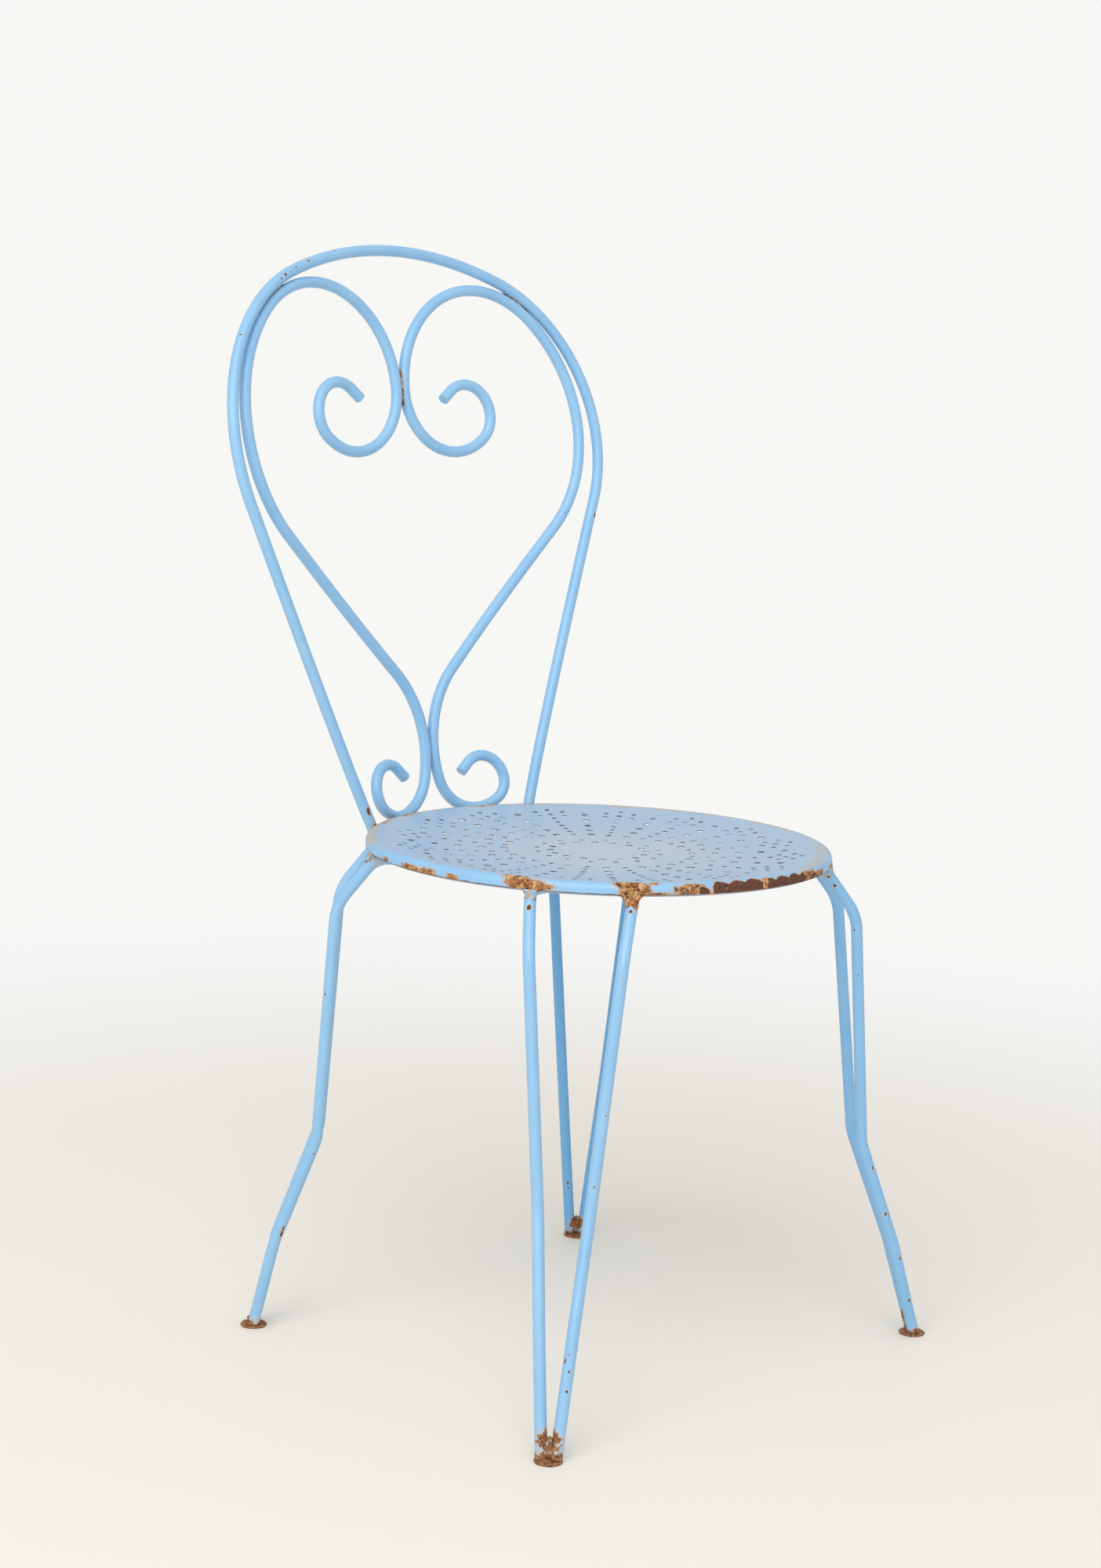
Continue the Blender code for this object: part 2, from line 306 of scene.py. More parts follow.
def keep_values(piece, name, values, kind="FLOAT"):
    """Store one value per vertex under a name that a material can read."""
    layer = piece.data.attributes.new(name, kind, "POINT")
    field = "vector" if kind == "FLOAT_VECTOR" else "value"
    layer.data.foreach_set(field, np.ravel(values))


def bend_rod(name, route):
    """A capped round bar of one rod's thickness along a route."""
    clear_selection()
    bpy.ops.curve.primitive_nurbs_path_add()
    rod = bpy.context.object
    curve = rod.data
    curve.splines.clear()
    spline = curve.splines.new("POLY")
    spline.points.add(len(route) - 1)
    for target, point in zip(spline.points, route):
        target.co = (*point, 1.0)
    curve.bevel_depth = ROD
    curve.bevel_resolution = (ROD_FACETS - 4) // 2
    curve.use_fill_caps = True
    bpy.ops.object.convert(target="MESH")
    rod = bpy.context.object
    rod.name = rod.data.name = name
    remember_route(rod, route)
    return rod


def remember_route(rod, route):
    """Store each vertex's distance along the bar and its turn round it."""
    lengths = [0.0]
    for first, second in zip(route, route[1:]):
        lengths.append(lengths[-1] + (second - first).length)
    tree = KDTree(len(route))
    for index, point in enumerate(route):
        tree.insert(point, index)
    tree.balance()
    along, across = [], []
    for vertex in rod.data.vertices:
        near, place, _ = tree.find(vertex.co)
        along.append(lengths[place])
        across.append((vertex.co - near) / ROD)
    keep_values(rod, "along", along)
    keep_values(rod, "across", across, "FLOAT_VECTOR")


def ease_ends(rod):
    """Weld the end discs on and round off their sawn edges."""
    edit_all(rod)
    bpy.ops.mesh.remove_doubles(threshold=MERGE)
    bpy.ops.mesh.select_all(action="DESELECT")
    bpy.ops.mesh.select_face_by_sides(number=4, type="GREATER")
    bpy.ops.mesh.bevel(offset=EASE_WIDTH, segments=2, affect="EDGES")
    bpy.ops.object.mode_set(mode="OBJECT")
    smooth_by_angle(rod, 50)
    report(rod)


# %% [markdown]
# ## The back and the legs
#
# The back's rods were sawn square, so their ends only lose the sharp edge. The
# two scrolls are the same rod, mirrored.

# %% Bend the back
hoop = bend_rod("hoop_rod", hoop_route())
ease_ends(hoop)
scrolls = {}
for side_name, side in (("left", -1), ("right", 1)):
    scrolls[side_name] = bend_rod("scroll_rod_" + side_name, scroll_route(side))
    ease_ends(scrolls[side_name])

# %% [markdown]
# The leg rods were cut level to stand on their feet, which is what bisecting
# the mesh at that height does.

# %% Bend the legs
LEG_CUT = 0.0033


def cut_level(rod, height):
    edit_all(rod)
    bpy.ops.mesh.remove_doubles(threshold=MERGE)
    bpy.ops.mesh.select_all(action="SELECT")
    bpy.ops.mesh.bisect(
        plane_co=(0.0, 0.0, height),
        plane_no=(0.0, 0.0, 1.0),
        use_fill=True,
        clear_inner=True,
    )
    bpy.ops.object.mode_set(mode="OBJECT")
    smooth_by_angle(rod, 50)
    report(rod)


legs = {}
for corner in LEG_TURNS:
    legs[corner] = bend_rod("leg_rod_" + corner, leg_route(corner))
    cut_level(legs[corner], LEG_CUT)

# %% [markdown]
# The ring that carries the seat is the same bar bent round and closed. A torus
# is exactly that shape. Only its lowest 2.4 mm show below the skirt.

# %% Bend the seat's ring
clear_selection()
bpy.ops.mesh.primitive_torus_add(
    location=(0.0, SEAT_AXIS.y, SEAT_TOP - SOLID_SHEET - FIT - ROD),
    major_radius=SEAT_RADIUS - SOLID_SHEET - FIT - ROD,
    minor_radius=ROD,
    major_segments=256,
    minor_segments=20,
)
ring = bpy.context.object
ring.name = ring.data.name = "seat_ring_rod"
bpy.ops.object.transform_apply()
bpy.ops.object.shade_smooth()
report(ring)

# %% [markdown]
# ## The seat
#
# The seat was a flat disc of thin sheet. Its holes were punched first, and
# then a press rolled the edge and dished the middle. The same order works
# here. A profile is extruded point by point and spun into a flat disc with a
# rolled edge, Solidify gives it the sheet's thickness, punches cut the holes
# straight through, and only then is the middle pressed down. The solid is
# 1.2 mm thick for strength. The fine sheet is 0.6 mm, as thin as the real
# one looks at its punched edges, and that lets a sliver of floor show through
# the larger holes even at this low angle.

# %% Spin the blank
PLATE_RINGS, ROLL_RINGS, SKIRT_RINGS = 30, 10, 4
PAN_STEPS = 480


def plate_radius():
    """Radius at which the flat sheet turns into the rolled rim."""
    return SEAT_RADIUS - ROLL_RADIUS + ROLL_RADIUS * math.cos(ROLL_START)


def blank_profile():
    """Radius and height from the seat's middle to the lower edge of the skirt."""
    profile = [(0.0, 0.0)]
    for index in range(1, PLATE_RINGS + 1):
        profile.append((plate_radius() * index / PLATE_RINGS, 0.0))
    for index in range(1, ROLL_RINGS + 1):
        angle = ROLL_START * (1 - index / ROLL_RINGS)
        radius = SEAT_RADIUS - ROLL_RADIUS + ROLL_RADIUS * math.cos(angle)
        profile.append((radius, ROLL_RADIUS * (math.sin(angle) - 1.0)))
    for index in range(1, SKIRT_RINGS + 1):
        depth = ROLL_RADIUS + (SKIRT_DEPTH - ROLL_RADIUS) * index / SKIRT_RINGS
        profile.append((SEAT_RADIUS, -depth))
    return profile


def spin_profile(name, profile, steps):
    """Extrude a profile point by point and spin it round the seat's axis."""
    clear_selection()
    bpy.ops.mesh.primitive_plane_add(size=0.001, location=(0.0, 0.0, 0.0))
    piece = bpy.context.object
    piece.name = piece.data.name = name
    edit_all(piece)
    bpy.ops.mesh.merge(type="CENTER")
    radius, height = profile[0]
    bpy.ops.transform.translate(value=(radius, 0.0, height))
    for before, after in zip(profile, profile[1:]):
        step = (after[0] - before[0], 0.0, after[1] - before[1])
        bpy.ops.mesh.extrude_region_move(TRANSFORM_OT_translate={"value": step})
    bpy.ops.mesh.select_all(action="SELECT")
    bpy.ops.mesh.spin(
        steps=steps, angle=math.tau, center=(0.0, 0.0, 0.0), axis=(0.0, 0.0, 1.0),
    )
    bpy.ops.mesh.select_all(action="SELECT")
    bpy.ops.mesh.remove_doubles(threshold=MERGE)
    bpy.ops.mesh.select_all(action="SELECT")
    bpy.ops.mesh.normals_make_consistent(inside=False)
    bpy.ops.object.mode_set(mode="OBJECT")
    return piece


pan = spin_profile("seat_sheet", blank_profile(), PAN_STEPS)
middle_face = min(pan.data.polygons, key=lambda face: face.center.length)
if middle_face.normal.z < 0:
    pan.data.flip_normals()
thickness = pan.modifiers.new("sheet", "SOLIDIFY")
thickness.thickness = SHEET
thickness.offset = -1.0
thickness.use_even_offset = True
pick(pan)
bpy.ops.object.modifier_apply(modifier="sheet")
report(pan)

# %% [markdown]
# The pattern repeats sixteen times: two rings of holes round the plain middle,
# a spoke of large holes, and halfway between, a spoke of small ones that ends
# in a six-sided cluster. One punch of each size is made and copied to every
# place, the copies are joined, and a single exact cut removes them all.

# %% Punch the holes
SPOKES = 16
SPOKE_PHASE = math.radians(2.8)
HOLE_SIZES = {"large": 0.0060, "small": 0.0043}
INNER_HOLES = {"large": 0.0415, "small": 0.0535}
HOLE_ROWS = {"large": (0.081, 0.020, 5), "small": (0.081, 0.01333, 8)}  # start, pitch, count
CLUSTER_RINGS = (0.1553, 0.1681)
CLUSTER_TURN = math.radians(4.3)
PUNCH_SIDES, PUNCH_TURN = 18, 0.11


def hole_places():
    """Radius, angle and kind of every hole."""
    places = []
    for spoke in range(SPOKES):
        large = SPOKE_PHASE + math.tau * spoke / SPOKES
        angles = {"large": large, "small": large + math.pi / SPOKES}
        places += [(INNER_HOLES[kind], angle, kind) for kind, angle in angles.items()]
        for kind, (start, pitch, count) in HOLE_ROWS.items():
            places += [(start + pitch * index, angles[kind], kind) for index in range(count)]
        for radius in CLUSTER_RINGS:
            for side in (-1, 1):
                places.append((radius, angles["small"] + side * CLUSTER_TURN, "small"))
    return places


def make_punches():
    punches = []
    masters = {}
    for kind, size in HOLE_SIZES.items():
        clear_selection()
        bpy.ops.mesh.primitive_cylinder_add(
            vertices=PUNCH_SIDES, radius=size / 2, depth=0.02, location=(0.0, 0.0, 0.0),
        )
        masters[kind] = bpy.context.object
    for radius, angle, kind in hole_places():
        copy = masters[kind].copy()
        copy.data = masters[kind].data.copy()
        copy.location = (radius * math.cos(angle), radius * math.sin(angle), 0.0)
        copy.rotation_euler.z = angle + PUNCH_TURN
        bpy.context.scene.collection.objects.link(copy)
        punches.append(copy)
    for master in masters.values():
        bpy.data.objects.remove(master)
    pick(*punches)
    bpy.ops.object.join()
    bpy.ops.object.transform_apply()
    return bpy.context.object


punch = make_punches()
cut = pan.modifiers.new("punch", "BOOLEAN")
cut.operation = "DIFFERENCE"
cut.solver = "EXACT"
cut.object = punch
pick(pan)
bpy.ops.object.modifier_apply(modifier="punch")
bpy.data.objects.remove(punch)
print("holes punched:", len(hole_places()))

# %% [markdown]
# Pressing moves every point of the flat part down by an amount that depends on
# its distance from the middle: nothing at the edge, the full depth inside
# 60 mm. The outer edge keeps its height. A hand-worked press also leaves the
# sheet very slightly uneven, so a slow ripple of up to two tenths of a
# millimetre goes in with it, enough to bend a reflection.

# %% Press the dish
DISH_FLAT, DISH_DEPTH, DISH_CURVE = 0.060, 0.0093, 2.4
RIPPLE_DEPTH, RIPPLE_SCALE, RIPPLE_FADE = 0.00022, 14.0, 0.02


def dish_height(radius):
    share = max(0.0, radius - DISH_FLAT) / (plate_radius() - DISH_FLAT)
    return DISH_DEPTH * (min(share, 1.0) ** DISH_CURVE - 1.0)


def press(piece):
    """Press the dish and lift the seat to its place."""
    pressed_to = plate_radius() + 0.0001
    for vertex in piece.data.vertices:
        radius = vertex.co.xy.length
        if radius < pressed_to:
            ripple = noise.noise(vertex.co * RIPPLE_SCALE) * RIPPLE_DEPTH
            fade = min(1.0, (pressed_to - radius) / RIPPLE_FADE)
            vertex.co.z += dish_height(radius) + ripple * fade
        vertex.co += SEAT_AXIS + UP * SEAT_TOP
    piece.data.update()


press(pan)
smooth_by_angle(pan, 35)
report(pan)

# %% [markdown]
# ## The feet
#
# Each leg stands on a small round slug of steel with a soft edge. It is turned
# from a profile, and a little noise makes its skin as lumpy as rust leaves it.

# %% Turn the feet
FOOT_STEPS = 64
FOOT_LUMP_DEPTH, FOOT_LUMP_SCALE = 0.0004, 260.0
FOOT_PROFILE = (
    # radius and height, from the middle of the top over the edge to the floor
    (0.0, 0.0031), (0.0040, 0.0031), (0.0075, 0.0029), (0.0098, 0.0024),
    (0.0111, 0.0017), (0.0115, 0.0010), (0.0113, 0.0004), (0.0107, 0.0), (0.0, 0.0),
)


def foot_place(corner):
    reach = LEG_CORNERS[corner.split("_")[0]][0][0]
    turn = Matrix.Rotation(LEG_TURNS[corner], 3, "Z")
    return turn @ Vector((reach, 0.0, 0.0)) + SEAT_AXIS


def roughen(piece, depth, scale, seed):
    """Push vertices along their normals by smooth noise, keeping the underside flat."""
    for vertex in piece.data.vertices:
        if vertex.co.z < 0.0002:
            continue
        amount = noise.noise(vertex.co * scale + Vector((seed, 0.0, 0.0)))
        vertex.co += vertex.normal * amount * depth
    piece.data.update()


feet = {}
for index, corner in enumerate(LEG_TURNS):
    foot = spin_profile("foot_disc_" + corner, FOOT_PROFILE, FOOT_STEPS)
    edit_all(foot)
    bpy.ops.transform.translate(value=foot_place(corner))
    bpy.ops.object.mode_set(mode="OBJECT")
    roughen(foot, FOOT_LUMP_DEPTH, FOOT_LUMP_SCALE, index * 7.0)
    smooth_by_angle(foot, 50)
    report(foot)
    feet[corner] = foot

# %% [markdown]
# ## The welds
#
# The rods are joined by short weld beads that were never ground off. Every
# bead starts as a small ball, drawn out along its seam, and a cloud texture in
# a Displace modifier makes it as lumpy as a hand weld.

# %% Lay a weld bead
def lumpy(piece, depth, size):
    """Displace a piece by a cloud texture and apply it."""
    clouds = bpy.data.textures.new("weld_lumps", "CLOUDS")
    clouds.noise_scale = size
    clouds.noise_depth = 2
    lumps = piece.modifiers.new("lumps", "DISPLACE")
    lumps.texture = clouds
    lumps.texture_coords = "LOCAL"
    lumps.strength = depth
    lumps.mid_level = 0.5
    pick(piece)
    bpy.ops.object.modifier_apply(modifier="lumps")
    bpy.ops.object.shade_smooth()


def axes_matrix(place, along, outward):
    """Matrix whose X runs along a seam and whose Z points out of it."""
    along = Vector(along).normalized()
    side = Vector(outward).cross(along).normalized()
    out = along.cross(side)
    turn = Matrix((along, side, out)).transposed()
    return Matrix.Translation(place) @ turn.to_4x4()


def lay_bead(place, along, outward, length, width, height, lumps=0.0012):
    """A lumpy bead at a place, its length along the seam and its height outward."""
    clear_selection()
    bpy.ops.mesh.primitive_ico_sphere_add(subdivisions=4, radius=0.5)
    bead = bpy.context.object
    edit_all(bead)
    bpy.ops.transform.resize(value=(length, width, height))
    bpy.ops.object.mode_set(mode="OBJECT")
    bead.matrix_world = axes_matrix(place, along, outward)
    bpy.ops.object.transform_apply()
    lumpy(bead, lumps, 0.004)
    return bead


def join_beads(name, beads, rust):
    """Make one piece of several beads, each with its rust value from 0 to 1."""
    for bead, level in zip(beads, rust):
        keep_values(bead, "crust", [level] * len(bead.data.vertices))
    pick(*beads)
    bpy.ops.object.join()
    piece = bpy.context.object
    piece.name = piece.data.name = name
    report(piece)
    return piece


# %% [markdown]
# Where a leg meets the seat, the bead runs round the top of the rod and flares
# out under the skirt like a small trumpet. A cone flattened towards the chair
# is that shape: its narrow end sinks into the rod and its wide end into the
# ring.

# %% Collars of the legs
COLLAR_TOP = (0.1966, 0.4328)       # distance from the seat's axis, and height
COLLAR_NECK = 0.0049                # radius at the low end, just inside the rod
COLLAR_WAIST, COLLAR_FLATTEN = 0.34, 0.50
COLLARS = {
    # for each of the two rods: low end's height, lumps, spread, rust
    "front_left": ((0.4200, 0.0022, 0.0112, 0.82), (0.4225, 0.0010, 0.0088, 0.42)),
    "front_right": ((0.4180, 0.0012, 0.0085, 0.55), (0.4185, 0.0010, 0.0080, 0.40)),
    "rear_left": ((0.4185, 0.0012, 0.0080, 0.45), (0.4175, 0.0014, 0.0088, 0.60)),
    "rear_right": ((0.4180, 0.0012, 0.0085, 0.55), (0.4185, 0.0012, 0.0080, 0.50)),
}


def away_from_seat(place):
    """Level direction from the seat's axis to a place."""
    return Vector((place.x - SEAT_AXIS.x, place.y - SEAT_AXIS.y, 0.0)).normalized()


def leg_point(route, height, side):
    """The route's point at a height, on the leg's first rod (side 0) or second (1)."""
    half = len(route) // 2
    part = route[:half] if side == 0 else route[half:]
    return min(part, key=lambda point: abs(point.z - height))


def lay_collar(low, lumps, spread):
    """A collar from its low end on the rod up to the ring, where it spreads."""
    clear_selection()
    outward = away_from_seat(low)
    reach, height = COLLAR_TOP
    high = outward * reach + SEAT_AXIS + UP * height
    rise = high - low
    bpy.ops.mesh.primitive_cone_add(
        vertices=36, radius1=COLLAR_NECK, radius2=spread, depth=rise.length,
    )
    collar = bpy.context.object
    edit_all(collar)
    bpy.ops.mesh.subdivide(number_cuts=5)
    bpy.ops.mesh.select_all(action="DESELECT")
    bpy.ops.object.mode_set(mode="OBJECT")
    for vertex in collar.data.vertices:
        share = vertex.co.z / rise.length + 0.5
        bulge = 1.0 - COLLAR_WAIST * math.sin(math.pi * share)
        vertex.co.x *= bulge
        vertex.co.y *= bulge * (1.0 - COLLAR_FLATTEN * share)
    collar.matrix_world = axes_matrix(low + rise / 2, rise.cross(outward), rise)
    bpy.ops.object.transform_apply()
    lumpy(collar, lumps, 0.0045)
    return collar


welds = {}
for corner, pair in COLLARS.items():
    route = leg_route(corner)
    collars = [
        lay_collar(leg_point(route, height, side), lumps, spread)
        for side, (height, lumps, spread, _) in enumerate(pair)
    ]
    welds[corner] = join_beads("weld_collars_" + corner, collars, [item[3] for item in pair])

# %% [markdown]
# The back is tacked on in eight places: the hoop and the small curls to the
# rim, the hoop to each scroll at the shoulder, and the two scrolls to each
# other at the heart's notch and at its point.

# %% Beads of the back
RIM_WELDS = (
    # place on the right side, then the bead's length, width, height and lumps
    (0.0948, 0.1325, 0.4338, 0.017, 0.0095, 0.0075, 0.0012),
    (0.0501, 0.1493, 0.4378, 0.020, 0.0060, 0.0045, 0.0008),
)
RIM_RUST = (0.70, 0.20, 0.35, 0.20)
SHOULDER = (0.1476, 0.2262, 0.8983)
HEART_SEAMS = ((0.2210, 0.8166), (0.1723, 0.4950))
SEAM_BEAD = (0.0018, 0.0046, 0.0006)    # width, height and lumps
BACK_RUST = 0.95


def round_seat(outward):
    """Level direction round the seat, a quarter turn from the outward one."""
    return Vector((-outward.y, outward.x, 0.0))


def seam_direction(route, place):
    nearest = min(range(1, len(route) - 1), key=lambda index: (route[index] - place).length)
    return route[nearest + 1] - route[nearest - 1]


hoop_line = hoop_route()
scroll_line = scroll_route(-1)
rim_beads, back_beads = [], []
for side in (-1, 1):
    for x, y, z, *bead_size in RIM_WELDS:
        bead_place = Vector((x * side, y, z))
        outward = away_from_seat(bead_place)
        rim_beads.append(lay_bead(bead_place, round_seat(outward), outward, *bead_size))
    x, y, z = SHOULDER
    seam = seam_direction(hoop_line, Vector((-x, y, z)))
    seam.x *= -side
    facing = (0.0, -1.0, 0.2)
    back_beads.append(lay_bead(Vector((x * side, y, z)), seam, facing, 0.042, *SEAM_BEAD))
for y, z in HEART_SEAMS:
    seam = seam_direction(scroll_line, Vector((-ROD, y, z)))
    seam.x = 0.0
    facing = (0.0, -1.0, 0.16)
    back_beads.append(lay_bead(Vector((0.0, y, z)), seam, facing, 0.036, *SEAM_BEAD))
welds["rim"] = join_beads("weld_beads_rim", rim_beads, RIM_RUST)
welds["back"] = join_beads("weld_beads_back", back_beads, [BACK_RUST] * len(back_beads))

# %% [markdown]
# Under the worst rust the rim has swollen into small scabs. They stand proud
# of the sheet, so they are laid on as flat beads, each at its own angle round
# the seat and its own height above the skirt's edge.

# %% Scabs on the rim
SCAB_RUST = 0.95
SCABS = (
    # angle, height above the edge in mm, length, width, height in mm
    (172.0, 1.2, 5.0, 3.0, 1.2), (175.0, 1.6, 4.0, 3.4, 1.4), (178.3, 1.4, 4.5, 3.0, 1.4),
    (180.2, 2.2, 3.6, 4.0, 1.3), (186.8, 0.8, 3.5, 2.2, 1.0), (202.6, 4.6, 7.0, 5.0, 1.3),
    (204.6, 1.6, 8.0, 4.0, 1.7), (206.8, 5.8, 5.0, 4.5, 1.1), (209.6, 1.2, 6.0, 3.0, 1.4),
    (229.6, 5.2, 8.0, 5.5, 1.3), (231.8, 1.4, 9.0, 4.0, 1.8),
    (233.6, 4.2, 5.0, 4.0, 1.2), (242.6, 1.8, 5.0, 3.4, 1.4), (245.6, 2.6, 6.0, 4.0, 1.4),
    (265.8, 3.2, 4.0, 5.0, 1.3), (282.6, 1.6, 6.0, 3.6, 1.4), (287.4, 1.2, 7.0, 3.0, 1.3),
    (29.0, 2.4, 9.0, 4.6, 1.5), (61.5, 2.0, 12.0, 4.2, 1.6), (118.5, 1.8, 12.0, 4.4, 1.6),
    (335.0, 1.4, 8.0, 3.4, 1.3), (11.0, 1.2, 7.0, 3.0, 1.3), (105.0, 1.6, 6.0, 3.0, 1.2),
)


def lay_scab(degrees, up, length, width, height):
    angle = math.radians(degrees)
    outward = Vector((math.cos(angle), math.sin(angle), 0.0))
    place = SEAT_AXIS + outward * (SEAT_RADIUS - 0.0001)
    place.z = SEAT_TOP - SKIRT_DEPTH + up / 1000
    sizes = [value / 1000 for value in (length, width, height)]
    return lay_bead(place, round_seat(outward), outward, *sizes, 0.0009)


scabs = join_beads("rust_scabs", [lay_scab(*item) for item in SCABS], [SCAB_RUST] * len(SCABS))

# %% [markdown]
# Down at the floor, a web of weld fills the narrow V between the two rods and
# runs out over the foot. It is the part of the chair that stood in the wet,
# so it is rust nearly all over.

# %% Webs at the feet
WEB_HEIGHTS = {
    "front_left": 0.018, "front_right": 0.016, "rear_left": 0.017, "rear_right": 0.020,
}
TOE_BEADS = ((0.0070, 0.0042, 0.0048), (-0.0068, 0.0044, 0.0052))   # aside, up, height
WEB_RUST = (0.62, 0.80, 0.75)
for corner, tall in WEB_HEIGHTS.items():
    foot_middle = foot_place(corner)
    inward = -away_from_seat(foot_middle)
    around = round_seat(inward)
    web_middle = foot_middle + UP * (0.002 + tall / 2) + inward * 0.0015
    beads = [lay_bead(web_middle, UP + inward * 0.30, around, tall, 0.0060, 0.0076)]
    for aside, up, height in TOE_BEADS:
        toe = foot_middle + around * aside + UP * up - inward * 0.001
        beads.append(lay_bead(toe, around, UP, 0.0075, 0.0110, height, 0.0014))
    welds["foot_" + corner] = join_beads("weld_web_" + corner, beads, WEB_RUST)

# %% [markdown]
# ## A paint shop
#
# Every finish here is a network of shader nodes, and a mask is mostly sums and
# products of other masks. Two small classes keep that short. A Value is one
# output of a node that can be added and multiplied like a number. A Finish
# adds the nodes and hands back their values. Sizes are given in metres,
# because all patterns are read from the object's own coordinates and each
# object sits at the origin.

# %% Shader helpers
class Value:
    """One output of a node, used in sums as if it were a number."""

    def __init__(self, finish, socket):
        self.finish = finish
        self.socket = socket

    def __add__(self, other):
        return self.finish.math("ADD", self, other)

    def __sub__(self, other):
        return self.finish.math("SUBTRACT", self, other)

    def __mul__(self, other):
        return self.finish.math("MULTIPLY", self, other)

    def __truediv__(self, other):
        return self.finish.math("DIVIDE", self, other)

    def swing(self, width):
        """A noise from 0 to 1 as a swing of this width about 0."""
        return self * width - width / 2

    def step(self, low, high):
        """Smooth step from 0 at low to 1 at high, or the other way round."""
        inputs = {0: self, 1: low, 2: high}
        return self.finish.add("MapRange", 0, inputs, interpolation_type="SMOOTHSTEP")

    def clamped(self):
        return self.finish.add("Clamp", 0, {0: self})


class Finish:
    """A material with its nodes."""

    def __init__(self, name):
        self.material = bpy.data.materials.new(name)
        self.material.use_nodes = True
        self.tree = self.material.node_tree
        self.shader = self.tree.nodes["Principled BSDF"]
        self.place = self.add("TexCoord", "Object")

    def add(self, kind, output, inputs=None, **settings):
        """Add a node, set or wire its inputs and hand back one of its outputs."""
        node = self.tree.nodes.new("ShaderNode" + kind)
        for key, value in settings.items():
            setattr(node, key, value)
        for key, value in (inputs or {}).items():
            self.feed(node.inputs[key], value)
        return Value(self, node.outputs[output])

    def feed(self, socket, value):
        if isinstance(value, Value):
            self.tree.links.new(value.socket, socket)
        else:
            socket.default_value = value

    def math(self, operation, *values):
        return self.add("Math", 0, dict(enumerate(values)), operation=operation)

    def vector(self, operation, *values):
        output = "Value" if operation == "LENGTH" else "Vector"
        return self.add("VectorMath", output, dict(enumerate(values)), operation=operation)

    def parts(self, place):
        """The x, y and z of a place as three values."""
        node = self.add("SeparateXYZ", 0, {0: place}).socket.node
        return [Value(self, socket) for socket in node.outputs]

    def attribute(self, name, output="Fac"):
        return self.add("Attribute", output, attribute_name=name)

    def noise(self, size, detail=2.0, shift=0.0, roughness=0.55):
        """Noise of about this size in metres, moved aside so that no two match."""
        place = self.place
        if shift:
            place = self.vector("ADD", place, (shift, shift * 0.7, shift * 1.3))
        return self.add("TexNoise", "Fac", {
            "Vector": place, "Scale": 1.0 / size, "Detail": detail, "Roughness": roughness,
        })

    def blend(self, share, first, second):
        return self.add("Mix", 2, {0: share, 6: first, 7: second}, data_type="RGBA")

    def most(self, first, *others):
        for other in others:
            first = self.math("MAXIMUM", first, other)
        return first

    def least(self, first, *others):
        for other in others:
            first = self.math("MINIMUM", first, other)
        return first

    def paint_on(self, colour, roughness, height, depth):
        """Wire the finished colour, roughness and height in metres to the shader."""
        bump = self.add("Bump", 0, {"Height": height, "Distance": depth})
        self.feed(self.shader.inputs["Base Color"], colour)
        self.feed(self.shader.inputs["Roughness"], roughness)
        self.feed(self.shader.inputs["Normal"], bump)
        self.shader.inputs["Specular IOR Level"].default_value = 0.5
        self.shader.inputs["IOR"].default_value = 1.5
        print(self.material.name, "nodes:", len(self.tree.nodes))
        return self.material


def rgb(red, green, blue):
    return (red, green, blue, 1.0)


# %% [markdown]
# ## Sky-blue paint
#
# The paint was brushed over older coats and has dulled to a satin sheen. So
# its colour drifts slowly from place to place, carries fine mottling, and
# shows faint brush lines along each rod. Brush lines need to know the rod's
# own direction, which is why each rod kept its "along" and "across" values.

# %% Paint and rust colours
SKY = rgb(0.262, 0.502, 0.745)
SKY_LIGHT = rgb(0.298, 0.537, 0.765)
SKY_DEEP = rgb(0.195, 0.432, 0.700)
# deeper blue painted in as shade on the rods under the seat
SKY_PAINTED_SHADE = rgb(0.110, 0.400, 0.740)
SKY_CHALK = rgb(0.375, 0.505, 0.635)
SKY_DUSTY = rgb(0.480, 0.560, 0.630)
# half-dark blue painted in as shade on the punched walls of the holes
HOLE_WALL_PAINTED_SHADE = rgb(0.130, 0.250, 0.380)
RUST_DARK = rgb(0.055, 0.021, 0.010)
RUST_BROWN = rgb(0.210, 0.078, 0.027)
RUST_ORANGE = rgb(0.450, 0.185, 0.052)
RUST_TAN = rgb(0.680, 0.445, 0.225)
RUST_BARE = rgb(0.140, 0.050, 0.024)
STAIN_TAN = rgb(0.560, 0.430, 0.270)
# pale grey painted in as glints of light on bare steel
PAINTED_GLINT_GREY = rgb(0.70, 0.70, 0.70)
NEAR = (0.02, 0.30)     # stored levels between which a noisy edge comes in


def painted_shade_under_seat(finish, colour):
    """Painted shade: deeper blue on the right-hand rods below the seat, most towards the rear."""
    x, y, z = finish.parts(finish.place)
    right = x.step(-0.05, 0.12) * z.step(0.437, 0.425)
    rear = y.step(-0.10, 0.06) * 0.45 + 0.22
    return finish.blend(right * rear, colour, SKY_PAINTED_SHADE)


def paint_colour(finish):
    """The paint's own colour with slow drift and fine mottling."""
    drift = finish.noise(0.045, 3.0).step(0.30, 0.72)
    colour = finish.blend(drift, SKY, SKY_LIGHT)
    mottle = finish.noise(0.006, 4.0, shift=0.31).step(0.52, 0.80)
    return finish.blend(mottle * 0.12, colour, SKY_DEEP)


